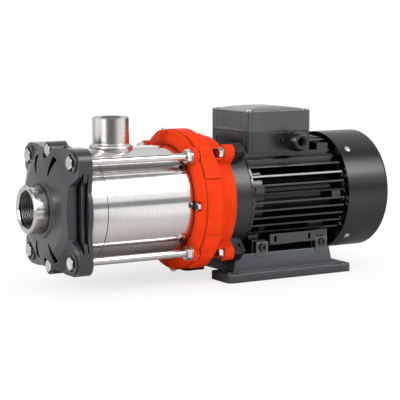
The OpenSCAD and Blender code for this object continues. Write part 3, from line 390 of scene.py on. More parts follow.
@dataclass(frozen=True)
class CastFinish(Finish):
    """Painted or bare casting: sand grain, soft blotches, edges paler by wear and painted
    highlight.

    Attributes:
        grain: Grains a metre.
        depth: How deep the grain is.
        blotch: How strong the blotches are.
        wear_and_highlight: How many times lighter an edge is, by wear and painted highlight.
        mottle: How far the roughness varies.
        hollow_shade, reach: What painted shade in a hollow leaves of the colour, and how near its
            walls are.
        gloss: Weight of the clear coat in the open; the painted-shade mask thins it in hollows.
    """

    grain: float = 900.0
    depth: float = 0.00012
    blotch: float = 0.22
    wear_and_highlight: float = 1.6
    mottle: float = 0.12
    hollow_shade: float = 0.35
    reach: float = 0.02
    gloss: float = 0.0

    BLOTCHES = 34.0
    PATCHES = 140.0
    PATCH_SPAN = (0.3, 0.75)
    PATCH_HEIGHT = 0.8
    GRAIN_SHARE = 0.6
    DARK, LIGHT = 0.86, 1.9
    RUB_AND_HIGHLIGHT = 0.7
    RUB_AND_HIGHLIGHT_BREAKS = (0.35, 0.6, 0.25, 1.0)

    def surface(self, graph: Graph) -> dict[str, Any]:
        """Lays on grain and blotches, lightens the edges by wear and painted highlight, and paints
        shade into the hollows.
        """
        place = graph.place()
        fine = graph.noise(place, self.grain, 4.0, 0.6)
        broad = graph.noise(place, self.BLOTCHES)
        patch = graph.noise(place, self.PATCHES, 4.0, 0.65)
        normal, rubbed_and_highlit = graph.edges(self.edge)
        rubbed_and_highlit = rubbed_and_highlit * patch.ramp(*self.RUB_AND_HIGHLIGHT_BREAKS)
        tone = broad * self.blotch + fine * (self.blotch * self.GRAIN_SHARE)
        colour = self.shaded(graph, tone, self.DARK, self.LIGHT)
        # Edges lightened: part wear, part painted highlight.
        colour = graph.mixed(rubbed_and_highlit * self.RUB_AND_HIGHLIGHT, colour, self.shade(self.wear_and_highlight))
        # Painted shade: ambient occlusion darkens the colour in hollows and thins the coat there.
        hollow_shade_mask = graph.hollow_shade_mask(self.reach)
        mottled = patch.ramp(*self.PATCH_SPAN, 0.0, self.mottle)
        surface = {
            "Base Color": graph.mixed(hollow_shade_mask, self.shade(self.hollow_shade), colour),
            "Roughness": mottled + (self.roughness - self.mottle * 0.4),
            "Normal": graph.bumped(fine + patch * self.PATCH_HEIGHT, self.depth, normal),
        }
        if self.gloss:
            surface["Coat Weight"] = hollow_shade_mask * self.gloss
            surface["Coat Roughness"] = self.roughness
        return surface


@dataclass(frozen=True)
class PowderFinish(Finish):
    """Powder coat: orange peel over the casting's grain, with pale edges of wear and painted
    highlight.

    Attributes:
        peel: Dimples a metre.
        depth: How deep they are.
        rub_and_highlight: Colour of an edge, from wear and painted highlight.
        hollow_shade, reach: What painted shade in a hollow leaves of the colour, and how near its
            walls are.
    """

    peel: float = 420.0
    depth: float = 0.0001
    rub_and_highlight: Colour = (1.0, 0.17, 0.06)
    hollow_shade: float = 0.5
    reach: float = 0.03

    BLOTCHES = 26.0
    BLOTCH_SPAN = (0.3, 0.72)
    GRAINS = 1500.0
    GRAIN_TONES = (0.5, 0.8, 0.0, 0.22)
    GRAIN_HEIGHT = 0.3

    def surface(self, graph: Graph) -> dict[str, Any]:
        """Lays the peel over the colour, paints shade into the hollows and lightens the edges by
        wear and painted highlight.
        """
        place = graph.place()
        peel = graph.noise(place, self.peel, 2.0, 0.45)
        broad = graph.noise(place, self.BLOTCHES)
        grain = graph.noise(place, self.GRAINS, 2.0)
        normal, rubbed_and_highlit = graph.edges(self.edge)
        colour = self.shaded(graph, broad.ramp(*self.BLOTCH_SPAN), 0.86, 1.06)
        colour = graph.mixed(grain.ramp(*self.GRAIN_TONES), colour, self.shade(0.7))
        # Painted shade: ambient occlusion darkens the colour in hollows.
        colour = graph.mixed(graph.hollow_shade_mask(self.reach), self.shade(self.hollow_shade), colour)
        return {
            # Edges lightened: part wear, part painted highlight.
            "Base Color": graph.mixed(rubbed_and_highlit * 0.5, colour, self.rub_and_highlight),
            "Roughness": self.rough_by(peel, 0.05, 0.08),
            "Normal": graph.bumped(peel + grain * self.GRAIN_HEIGHT, self.depth, normal),
        }


@dataclass(frozen=True)
class LinedFinish(Finish):
    """Turned, brushed or drawn metal: fine lines in one direction.

    Attributes:
        lay: Which way the lines run.
        lines: Lines a metre.
        depth: How deep they are.
        streak: How far they vary the colour.
        bore: Radius of the bore whose inside gets painted shade, or 0 where there is none.
        smear: How far they vary the roughness.
        hollow_shade, reach: What painted shade in a hollow leaves of the colour, and how near its
            walls are.
    """

    lay: Lay = Lay.ROUND_SHAFT
    lines: float = 5200.0
    depth: float = 0.000002
    streak: float = 0.08
    bore: float = 0.0
    smear: float = 0.12
    hollow_shade: float = 1.0
    reach: float = 0.016

    SQUEEZE_ROUND = 0.0008
    SQUEEZE_ALONG = 0.012
    COARSE, DEEP = 0.12, 0.3
    DEEP_SPAN = (0.66, 0.74)
    TONE_SPAN = (0.32, 0.68)
    MARKS = 30.0
    MARKS_SHARE = 0.08
    SCRATCH_SHADE = 0.55
    BORE_SHADE = 0.3
    BORE_EDGE = 0.0005

    def across(self, graph: Graph) -> Socket:
        """Gives the place, squeezed along the lines so that noise draws them.

        Args:
            graph: Where the nodes go.

        Returns:
            The squeezed place.
        """
        place = graph.place()
        if self.lay is Lay.ALONG_SHAFT:
            return graph.stretched(place, (self.SQUEEZE_ALONG, 1.0, 1.0))
        x, y, z = graph.parts_of(place)
        if self.lay is Lay.ROUND_OUTLET:
            around = y.angle_with(x - OUTLET_STATION)
            return graph.joined(around * self.SQUEEZE_ROUND, z, 0.0)
        around = y.angle_with(z - AXIS_HEIGHT)
        return graph.joined(x, self.off_axis(graph), around * self.SQUEEZE_ROUND)

    def off_axis(self, graph: Graph) -> Signal:
        """Gives the distance from the axis that the lines run round.

        Args:
            graph: Where the nodes go.

        Returns:
            The distance.
        """
        x, y, z = graph.parts_of(graph.place())
        other = x - OUTLET_STATION if self.lay is Lay.ROUND_OUTLET else z - AXIS_HEIGHT
        return (y * y + other * other).power(0.5)

    def surface(self, graph: Graph) -> dict[str, Any]:
        """Draws the lines, a few deeper scratches and faint handling marks, and paints shade into
        the bore and the hollows.
        """
        squeezed = self.across(graph)
        fine = graph.noise(squeezed, self.lines, 3.0, 0.6)
        coarse = graph.noise(squeezed, self.lines * self.COARSE, 4.0, 0.7)
        marks = graph.noise(graph.place(), self.MARKS, 4.0, 0.6)
        deep = graph.noise(squeezed, self.lines * self.DEEP, 1.0).ramp(*self.DEEP_SPAN)
        tone = (fine * 0.5 + coarse * 0.5).ramp(*self.TONE_SPAN)
        colour = self.shaded(graph, tone, 1.0 - self.streak, 1.0 + self.streak * 0.5)
        colour = graph.mixed(deep * 0.25, colour, self.shade(self.SCRATCH_SHADE))
        # Painted shade inside the bore.
        if self.bore:
            inside = self.off_axis(graph).ramp(self.bore + self.BORE_EDGE, self.bore)
            colour = graph.mixed(inside, colour, self.shade(self.BORE_SHADE))
        # Painted shade: ambient occlusion darkens the colour beside other parts.
        if self.hollow_shade < 1.0:
            colour = graph.mixed(graph.hollow_shade_mask(self.reach), self.shade(self.hollow_shade), colour)
        middle = self.roughness - self.MARKS_SHARE / 2 - self.smear / 2
        return {
            "Base Color": colour,
            "Metallic": 1.0,
            "Roughness": tone * self.smear + marks * self.MARKS_SHARE + middle,
            "Normal": graph.bumped(fine + coarse * 0.6 - deep * 0.8, self.depth),
        }


@dataclass(frozen=True)
class PlatedFinish(Finish):
    """Bright plated steel of the fasteners, with a faint cast of colour.

    Attributes:
        tint: Colour of the clouds in the plating.
    """

    tint: Colour = (0.62, 0.60, 0.50)

    CLOUDS = 160.0
    CLOUD_SPAN = (0.35, 0.7)
    PITS = 1600.0
    PIT_DEPTH = 0.00002

    def surface(self, graph: Graph) -> dict[str, Any]:
        """Clouds the plating, rounds the edges of the small pieces and lightens them by wear and
        painted highlight.
        """
        place = graph.place()
        cloud = graph.noise(place, self.CLOUDS)
        pits = graph.noise(place, self.PITS, 2.0)
        normal, rubbed_and_highlit = graph.edges(self.edge)
        colour = graph.mixed(cloud.ramp(*self.CLOUD_SPAN), self.colour, self.tint)
        return {
            # Edges lightened: part wear, part painted highlight.
            "Base Color": graph.mixed(rubbed_and_highlit * 0.6, colour, self.shade(1.25)),
            "Metallic": 1.0,
            "Roughness": self.rough_by(cloud, 0.06, 0.12),
            "Normal": graph.bumped(pits, self.PIT_DEPTH, normal),
        }


@dataclass(frozen=True)
class MouldedFinish(Finish):
    """Moulded plastic or rubber: an even eroded texture with a soft sheen.

    Attributes:
        texture: Pits a metre.
        depth: How deep they are.
        wear_and_highlight: How many times lighter an edge is, by wear and painted highlight.
    """

    edge: float = 0.0004
    texture: float = 1500.0
    depth: float = 0.00006
    wear_and_highlight: float = 1.9

    FLOW = 42.0
    FLOW_STRETCH = (1.0, 1.0, 0.35)
    TEXTURE_SPAN = (0.25, 0.75)

    def surface(self, graph: Graph) -> dict[str, Any]:
        """Lays the moulded texture, flow marks and edges paler by wear and painted highlight over
        the colour.
        """
        place = graph.place()
        fine = graph.noise(place, self.texture, 3.0, 0.6)
        flow = graph.noise(graph.stretched(place, self.FLOW_STRETCH), self.FLOW)
        normal, rubbed_and_highlit = graph.edges(self.edge)
        colour = self.shaded(graph, flow.ramp(*NOISE_SPAN), 0.88, 1.18)
        rough = fine.ramp(*self.TEXTURE_SPAN, self.roughness - 0.05, self.roughness + 0.07)
        return {
            # Edges lightened: part wear, part painted highlight.
            "Base Color": graph.mixed(rubbed_and_highlit * 0.4, colour, self.shade(self.wear_and_highlight)),
            "Roughness": rough,
            "Normal": graph.bumped(fine, self.depth, normal),
        }


@dataclass(frozen=True)
class WoundFinish(Finish):
    """Enamelled winding wire: bundled strands under varnish."""

    STRANDS = 1400.0
    STRAND_STRETCH = (0.08, 1.0, 1.0)
    STRAND_SPAN = (0.35, 0.65)
    STRAND_DEPTH = 0.0002
    POOLS = 90.0
    POOL_TONES = (0.5, 0.75, 0.0, 0.5)
    VARNISH = (0.22, 0.06, 0.02)

    def surface(self, graph: Graph) -> dict[str, Any]:
        """Draws the strands and pools of varnish."""
        place = graph.place()
        strands = graph.noise(graph.stretched(place, self.STRAND_STRETCH), self.STRANDS, 2.0)
        pools = graph.noise(place, self.POOLS)
        colour = self.shaded(graph, strands.ramp(*self.STRAND_SPAN), 0.5, 1.2)
        return {
            "Base Color": graph.mixed(pools.ramp(*self.POOL_TONES), colour, self.VARNISH),
            "Metallic": 0.7,
            "Roughness": pools.ramp(*NOISE_SPAN, 0.28, 0.5),
            "Normal": graph.bumped(strands, self.STRAND_DEPTH),
        }


@dataclass(frozen=True)
class StackedFinish(Finish):
    """Core of stacked sheets: thin rings across the shaft with a blued skin."""

    SHEET = 0.001
    SHEET_DEPTH = 0.00005
    SKIN = 120.0
    SKIN_TONES = (0.4, 0.7, 0.0, 0.5)
    BLUED = (0.16, 0.17, 0.22)

    def surface(self, graph: Graph) -> dict[str, Any]:
        """Draws the edges of the sheets and the blued skin."""
        place = graph.place()
        x, _, _ = graph.parts_of(place)
        sheets = (x * (FULL_TURN / self.SHEET)).sine() * 0.5 + 0.5
        skin = graph.noise(place, self.SKIN)
        colour = self.shaded(graph, sheets, 0.6, 1.0)
        return {
            "Base Color": graph.mixed(skin.ramp(*self.SKIN_TONES), colour, self.BLUED),
            "Metallic": 0.9,
            "Roughness": skin.ramp(*NOISE_SPAN, 0.4, 0.6),
            "Normal": graph.bumped(sheets, self.SHEET_DEPTH),
        }


# Below, the hollow factor is painted shade in hollows, and the edge factor is wear with painted
# highlight.
CAST_CHARCOAL = CastFinish(
    "cast_charcoal", (0.025, 0.029, 0.034), 0.32, edge=0.0016, shine=0.4,
    depth=0.00008, wear_and_highlight=9.0, hollow_shade=0.06, gloss=0.8,
)
BASE_BLACK = CastFinish(
    "base_black", (0.082, 0.090, 0.100), 0.33, edge=0.0014, shine=0.4,
    depth=0.00006, wear_and_highlight=8.0, hollow_shade=0.1, reach=0.05, gloss=0.7,
)
SHIELD_GREY = CastFinish(
    "shield_grey", (0.006, 0.007, 0.008), 0.34, edge=0.001, shine=0.66,
    depth=0.00005, mottle=0.05, wear_and_highlight=6.0,
)
HOUSING_BLACK = CastFinish(
    "housing_black", (0.0035, 0.0038, 0.0044), 0.16, edge=0.0007, shine=0.4,
    depth=0.00001, blotch=0.3, mottle=0.04, gloss=1.0,
)
ORANGE_COAT = PowderFinish("orange_coat", (0.96, 0.052, 0.006), 0.45, edge=0.0014, shine=0.05)
# The barrel gets painted shade beside the flange and the plate.
STAINLESS_BRUSHED = LinedFinish(
    "stainless_brushed", (0.78, 0.76, 0.745), 0.13, smear=0.06, hollow_shade=0.2
)
INLET_TURNED = LinedFinish(
    "inlet_turned", (0.78, 0.755, 0.73), 0.16, slot="stainless_turned",
    lines=2600.0, bore=0.0241, hollow_shade=0.2, reach=0.012,
)
OUTLET_TURNED = LinedFinish(
    "outlet_turned", (0.78, 0.755, 0.73), 0.25, slot="stainless_turned",
    lay=Lay.ROUND_OUTLET, lines=2600.0, smear=0.06, bore=0.0197, hollow_shade=0.4, reach=0.01,
)
STAINLESS_ROD = LinedFinish(
    "stainless_rod", (0.70, 0.69, 0.68), 0.12, lay=Lay.ALONG_SHAFT, smear=0.06
)
STAINLESS_INNER = LinedFinish("stainless_inner", (0.62, 0.62, 0.61), 0.30)
BEARING_STEEL = LinedFinish("bearing_steel", (0.68, 0.69, 0.71), 0.14)
SHAFT_STEEL = LinedFinish("shaft_steel", (0.60, 0.60, 0.61), 0.2, lines=3000.0)
ZINC_STEEL = PlatedFinish("zinc_steel", (0.84, 0.83, 0.81), 0.16, tint=(0.70, 0.69, 0.66))
BLACK_STEEL = PlatedFinish("black_steel", (0.10, 0.10, 0.10), 0.36, tint=(0.07, 0.065, 0.06))
STUD_BRASS = PlatedFinish("stud_brass", (0.80, 0.56, 0.22), 0.26, tint=(0.66, 0.42, 0.14))
BLACK_RUBBER = MouldedFinish("black_rubber", (0.016, 0.016, 0.017), 0.62)
PALE_PLASTIC = MouldedFinish("pale_plastic", (0.70, 0.66, 0.54), 0.42)
SEAL_CERAMIC = MouldedFinish("seal_ceramic", (0.82, 0.80, 0.74), 0.2, depth=0.00001)
SEAL_CARBON = MouldedFinish("seal_carbon", (0.028, 0.028, 0.03), 0.32, depth=0.00002)
FAN_PLASTIC = MouldedFinish("fan_plastic", (0.02, 0.02, 0.021), 0.45)
COVER_BLACK = CastFinish(
    "cover_black", (0.002, 0.0032, 0.0058), 0.29, edge=0.0008, shine=0.60,
    depth=0.000005, grain=1600.0, blotch=0.12, mottle=0.03,
)
# Box and lid: the edge factor paints highlights on their corners.
BOX_BLACK = MouldedFinish(
    "box_black", (0.021, 0.024, 0.028), 0.28, edge=0.0012, shine=0.7,
    depth=0.00003, wear_and_highlight=15.0,
)
# Bare metal rims round the foot holes: wear, and a painted highlight on their edges.
RUBBED_RIM_HIGHLIGHT = PlatedFinish(
    "rubbed_rim_highlight", (0.30, 0.30, 0.30), 0.4, slot="base_black", tint=(0.18, 0.18, 0.18)
)
LID_BLACK = MouldedFinish(
    "lid_black", (0.042, 0.045, 0.049), 0.22, slot="box_black", edge=0.0012, shine=1.0,
    depth=0.00002, wear_and_highlight=12.0,
)
BOARD_PLASTIC = MouldedFinish("board_plastic", (0.55, 0.46, 0.30), 0.5)
# The gland's edge factor paints bright rims on it.
GLAND_PLASTIC = MouldedFinish(
    "gland_plastic", (0.004, 0.004, 0.0045), 0.16, depth=0.000001, shine=0.8, edge=0.0009, wear_and_highlight=40.0
)
CORE_IRON = StackedFinish("core_iron", (0.34, 0.34, 0.36))
WINDING_COPPER = WoundFinish("winding_copper", (0.72, 0.28, 0.10))


def object_of(data: Any, name: str) -> bpy.types.Object:
    """Makes an object of its data and links it to the scene."""
    made = bpy.data.objects.new(name, data)
    bpy.context.scene.collection.objects.link(made)
    return made


def data_of(mesh: BMesh, name: str) -> bpy.types.Mesh:
    """Writes a mesh out as an object's data and frees it."""
    data = bpy.data.meshes.new(name)
    mesh.to_mesh(data)
    mesh.free()
    return data


def angles(count: int) -> list[float]:
    """Shares a full turn out evenly."""
    return [n * FULL_TURN / count for n in range(count)]


@dataclass
class SubAssembly:
    """Pieces that are built and dressed together."""

    body: str = "pump_frame"

    def finishes(self) -> dict[str, Finish]:
        """Names the finish of each solid."""
        return {}

    def build(self) -> Pieces:
        """Makes the fine pieces that the solids don't have."""
        return []

    def dress(self) -> None:
        """Gives every solid its finish."""
        for name, finish in self.finishes().items():
            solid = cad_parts[name]
            solid.data.materials.clear()
            solid.data.materials.append(finish.material())
            LOG.info("%s: %s", name, finish.name)

    def keep(self, mesh: BMesh, name: str, finish: Finish, smooth: bool = True) -> bpy.types.Object:
        """Turns a mesh into a piece that rides on this sub-assembly's body.

        Args:
            mesh: The mesh, in the frame of the pump.
            name: The piece's name.
            finish: The piece's finish.
            smooth: Whether its faces are shaded smooth.

        Returns:
            The piece.
        """
        bmesh.ops.recalc_face_normals(mesh, faces=mesh.faces)
        data = data_of(mesh, name)
        piece = object_of(data, name)
        for polygon in data.polygons:
            polygon.use_smooth = smooth
        data.materials.append(finish.material())
        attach(piece, self.body)
        finish.slot or finish.name
        LOG.info("%s: %d faces, %s", name, len(data.polygons), finish.name)
        return piece


def swept(sections: Sequence[Sequence[Vector]], ring: bool = False) -> BMesh:
    """Joins closed sections into one skin.

    Args:
        sections: The sections in order, each with the same number of points.
        ring: Whether the last section joins the first; otherwise both ends are capped.

    Returns:
        The mesh.
    """
    mesh = bmesh.new()
    rows = [[mesh.verts.new(point) for point in section] for section in sections]
    following = rows[1:] + rows[:1] if ring else rows[1:]
    for near, far in zip(rows, following):
        for n in range(len(near)):
            m = (n + 1) % len(near)
            mesh.faces.new((near[n], near[m], far[m], far[n]))
    if not ring:
        mesh.faces.new(rows[0])
        mesh.faces.new(rows[-1][::-1])
    return mesh


@dataclass(frozen=True)
class PipeThread:
    """An inside pipe thread: one ridge wound along the bore, fading in and out.

    Attributes:
        bore: Radius of the bore.
        start, length: Station where the thread begins, and how far it reaches.
        pitch: How far one turn moves it on.
        depth, sunk: How far the ridge stands out, and how far its foot is sunk in the wall.
        steps: Sections in a turn.
        foot, crest: Half widths of foot and crest, as shares of the pitch.
        least: Share of the depth that is left at both ends.
    """

    bore: float
    start: float
    length: float
    pitch: float = 0.002309
    depth: float = 0.0011
    steps: int = 40
    sunk: float = 0.0002
    foot: float = 0.46
    crest: float = 0.09
    least: float = 0.05

    def sections(self, point: Callable[[float, float, float], Vector]) -> list[list[Vector]]:
        """Lays the ridge out.

        Args:
            point: Gives the place of a radius, an angle and a station along the bore.

        Returns:
            The ridge's sections.
        """
        turns = self.length / self.pitch - 1.0
        count = int(turns * self.steps)
        made = []
        for n in range(count + 1):
            angle = n * FULL_TURN / self.steps
            station = self.start + self.pitch * (0.5 + n / self.steps)
            fade = min(1.0, 2.0 * n / self.steps, 2.0 * (count - n) / self.steps)
            tip = self.bore - self.depth * max(fade, self.least)
            root = self.bore + self.sunk
            corners = ((root, -self.foot), (tip, -self.crest), (tip, self.crest), (root, self.foot))
            made.append([point(r, angle, station + share * self.pitch) for r, share in corners])
        return made


@dataclass
class SuctionEnd(SubAssembly):
    """The black casting, the inlet and the nuts in front."""

    inlet_thread: PipeThread = PipeThread(bore=0.0239, start=-0.3500, length=0.0235)

    def finishes(self) -> dict[str, Finish]:
        """Names the finish of each solid."""
        return {
            "suction_plate": CAST_CHARCOAL,
            "inlet_port": INLET_TURNED,
            "front_nuts": ZINC_STEEL,
            "centre_bolts": ZINC_STEEL,
        }

    def build(self) -> Pieces:
        """Winds the thread of the inlet."""

        def point(radius: float, angle: float, station: float) -> Vector:
            """Gives a place in the inlet's bore."""
            return Vector(
                (station, radius * math.cos(angle), AXIS_HEIGHT + radius * math.sin(angle))
            )

        ridge = swept(self.inlet_thread.sections(point))
        return [self.keep(ridge, "inlet_thread_ridge", INLET_TURNED)]


@dataclass
class Barrel(SubAssembly):
    """The stainless barrel with its outlet and tie rods."""

    barrel_radius: float = 0.074
    outlet_thread: PipeThread = PipeThread(bore=0.0195, start=0.1985, length=0.0190)
    seam_station: float = -0.272
    seam_width: float = 0.0009
    seam_depth: float = 0.0006
    seam_proud: float = 0.00002
    seam_steps: int = 192

    def finishes(self) -> dict[str, Finish]:
        """Names the finish of each solid."""
        return {
            "suction_cover": STAINLESS_BRUSHED,
            "outer_sleeve": STAINLESS_BRUSHED,
            "outlet_port": OUTLET_TURNED,
            "tie_rods": STAINLESS_ROD,
            "lock_nuts": ZINC_STEEL,
            "cover_seal": BLACK_RUBBER,
            "sleeve_seal": BLACK_RUBBER,
        }

    def build(self) -> Pieces:
        """Winds the thread of the outlet and lays a dark ring in the joint: seal edge and painted
        shadow line.
        """

        def point(radius: float, angle: float, station: float) -> Vector:
            """Gives a place in the outlet's bore."""
            return Vector(
                (OUTLET_STATION + radius * math.cos(angle), radius * math.sin(angle), station)
            )

        ridge = swept(self.outlet_thread.sections(point))
        return [
            self.keep(ridge, "outlet_thread_ridge", OUTLET_TURNED),
            self.keep(self.seam_shadow_line(), "sleeve_seam_shadow_edge", BLACK_RUBBER),
        ]

    def seam_shadow_line(self) -> BMesh:
        """Lays a dark ring in the joint between cover and sleeve: the seal's visible edge and a
        painted shadow line.

        Returns:
            A thin ring, flush with the barrel.
        """
        half = self.seam_width / 2
        low, high = self.barrel_radius - self.seam_depth, self.barrel_radius + self.seam_proud
        corners = ((-half, low), (half, low), (half, high), (-half, high))
        sections = []
        for turn in angles(self.seam_steps):
            out, up = math.sin(turn), math.cos(turn)
            section = []
            for along, radius in corners:
                place = (self.seam_station + along, radius * out, AXIS_HEIGHT + radius * up)
                section.append(Vector(place))
            sections.append(section)
        return swept(sections, ring=True)


@dataclass
class OrangeCasting(SubAssembly):
    """The pump flange and the motor bracket with their fasteners."""

    def finishes(self) -> dict[str, Finish]:
        """Names the finish of each solid."""
        return {
            "pump_flange": ORANGE_COAT,
            "motor_bracket": ORANGE_COAT,
            "flange_screws": ZINC_STEEL,
            "vent_plug": ZINC_STEEL,
            "drain_plug": ZINC_STEEL,
            "bracket_bolts": ZINC_STEEL,
            "bracket_washers": ZINC_STEEL,
        }


@dataclass
class WetEnd(SubAssembly):
    """The stages, the seals and what turns inside the barrel."""

    def finishes(self) -> dict[str, Finish]:
        """Names the finish of each solid."""
        steel = ["seal_plate", "discharge_ring", "impeller_nut", "shaft_spacers"]
        steel += [f"stage_casing_{n}" for n in range(1, 5)] + [f"impeller_{n}" for n in range(1, 5)]
        return {
            **{name: STAINLESS_INNER for name in steel},
            "neck_rings": PALE_PLASTIC,
            "seal_seat": SEAL_CERAMIC,
            "seal_head": SEAL_CARBON,
            "seal_spring": BEARING_STEEL,
            "slinger_ring": BLACK_RUBBER,
        }


@dataclass
class Motor(SubAssembly):
    """The motor, from its shaft line to the fan cover."""

    guard_station: float = 0.1598
    guard_radius: float = 0.069
    guard_pitch: float = 0.0022
    guard_wire: float = 0.0008

    def finishes(self) -> dict[str, Finish]:
        """Names the finish of each solid."""
        return {
            "shaft": SHAFT_STEEL,
            "rotor_core": CORE_IRON,
            "stator_core": CORE_IRON,
            "windings": WINDING_COPPER,
            "bearing_outer_races": BEARING_STEEL,
            "bearing_inner_races": BEARING_STEEL,
            "bearing_balls": BEARING_STEEL,
            "bearing_cages": PALE_PLASTIC,
            "front_end_shield": SHIELD_GREY,
            "motor_housing": HOUSING_BLACK,
            "rear_end_shield": SHIELD_GREY,
            "fan": FAN_PLASTIC,
            "fan_cover": COVER_BLACK,
            "fan_cover_screws": ZINC_STEEL,
        }

    def build(self) -> Pieces:
        """Weaves the fine guard behind the cover's grille, a dark mesh standing in as painted shade
        there.
        """
        return [self.keep(self.guard(), "grille_shade_guard", BLACK_STEEL, smooth=False)]

    def guard(self) -> BMesh:
        """Crosses two rows of wires inside a circle.

        Returns:
            The woven guard.
        """
        mesh = bmesh.new()
        count = int(self.guard_radius / self.guard_pitch)
        for n in range(-count, count + 1):
            offset = n * self.guard_pitch
            reach = math.sqrt(self.guard_radius**2 - offset * offset)
            for upright in (False, True):
                station = self.guard_station + (self.guard_wire if upright else 0.0)
                spans = (offset, 0.0) if upright else (0.0, offset)
                size = (self.guard_wire, 2.0 * reach) if upright else (2.0 * reach, self.guard_wire)
                wire = bmesh.ops.create_cube(mesh, size=1.0)["verts"]
                bmesh.ops.scale(mesh, vec=Vector((self.guard_wire, *size)), verts=wire)
                spot = Vector((station, spans[0], AXIS_HEIGHT + spans[1]))
                bmesh.ops.translate(mesh, vec=spot, verts=wire)
        return mesh


@dataclass
class TerminalBox(SubAssembly):
    """The terminal box with its lid, board and cable gland."""

    def finishes(self) -> dict[str, Finish]:
        """Names the finish of each solid."""
        return {
            "terminal_box": BOX_BLACK,
            "lid_gasket": BLACK_RUBBER,
            "terminal_lid": LID_BLACK,
            "lid_screws": ZINC_STEEL,
            "terminal_board": BOARD_PLASTIC,
            "terminal_studs": STUD_BRASS,
            "gland_body": GLAND_PLASTIC,
            "gland_insert": BLACK_RUBBER,
            "gland_nut": GLAND_PLASTIC,
        }


@dataclass
class Foot(SubAssembly):
    """The base and the bolts that hold the motor on it."""

    hole_x: float = 0.088
    outer_y: float = 0.072
    inner_y: float = 0.046
    outer_radius: float = 0.0045
    inner_radius: float = 0.0035
    foot_top: float = 0.0110
    sunk_out: float = 0.0032
    wire: float = 0.0003
    rim_steps: int = 64
    wire_sides: int = 6

    def finishes(self) -> dict[str, Finish]:
        """Names the finish of each solid."""
        return {"base": BASE_BLACK, "base_bolts": BLACK_STEEL}

    def build(self) -> Pieces:
        """Lays thin rims round the sunk faces of the foot holes: bare metal of wear, and painted
        highlight.
        """
        made = []
        rows = (
            ("outer", self.outer_y, self.outer_radius),
            ("inner", self.inner_y, self.inner_radius),
        )
        for name, across, radius in rows:
            for n, (x, y) in enumerate(((-1, -1), (1, -1), (1, 1), (-1, 1))):
                middle = Vector((x * self.hole_x, y * across, self.foot_top))
                rim = self.rim(middle, radius + self.sunk_out)
                made.append(self.keep(rim, f"foot_rim_{name}_{n}", RUBBED_RIM_HIGHLIGHT))
        return made

    def rim(self, middle: Vector, radius: float) -> BMesh:
        """Lays one thin ring.

        Args:
            middle: The ring's middle, on the top of the foot.
            radius: The ring's radius.

        Returns:
            The ring.
        """
        sections = []
        for turn in angles(self.rim_steps):
            out = Vector((math.cos(turn), math.sin(turn), 0.0))
            section = []
            for side in angles(self.wire_sides):
                across, up = self.wire * math.cos(side), self.wire * math.sin(side)
                section.append(middle + out * (radius + across) + Vector((0.0, 0.0, up)))
            sections.append(section)
        return swept(sections, ring=True)


@dataclass(frozen=True)
class Lamp:
    """One soft lamp: its size, its watts, and whether metal reflects it."""

    name: str
    place: Vector
    aim: Vector
    width: float
    height: float
    power: float
    mirrored: bool = True


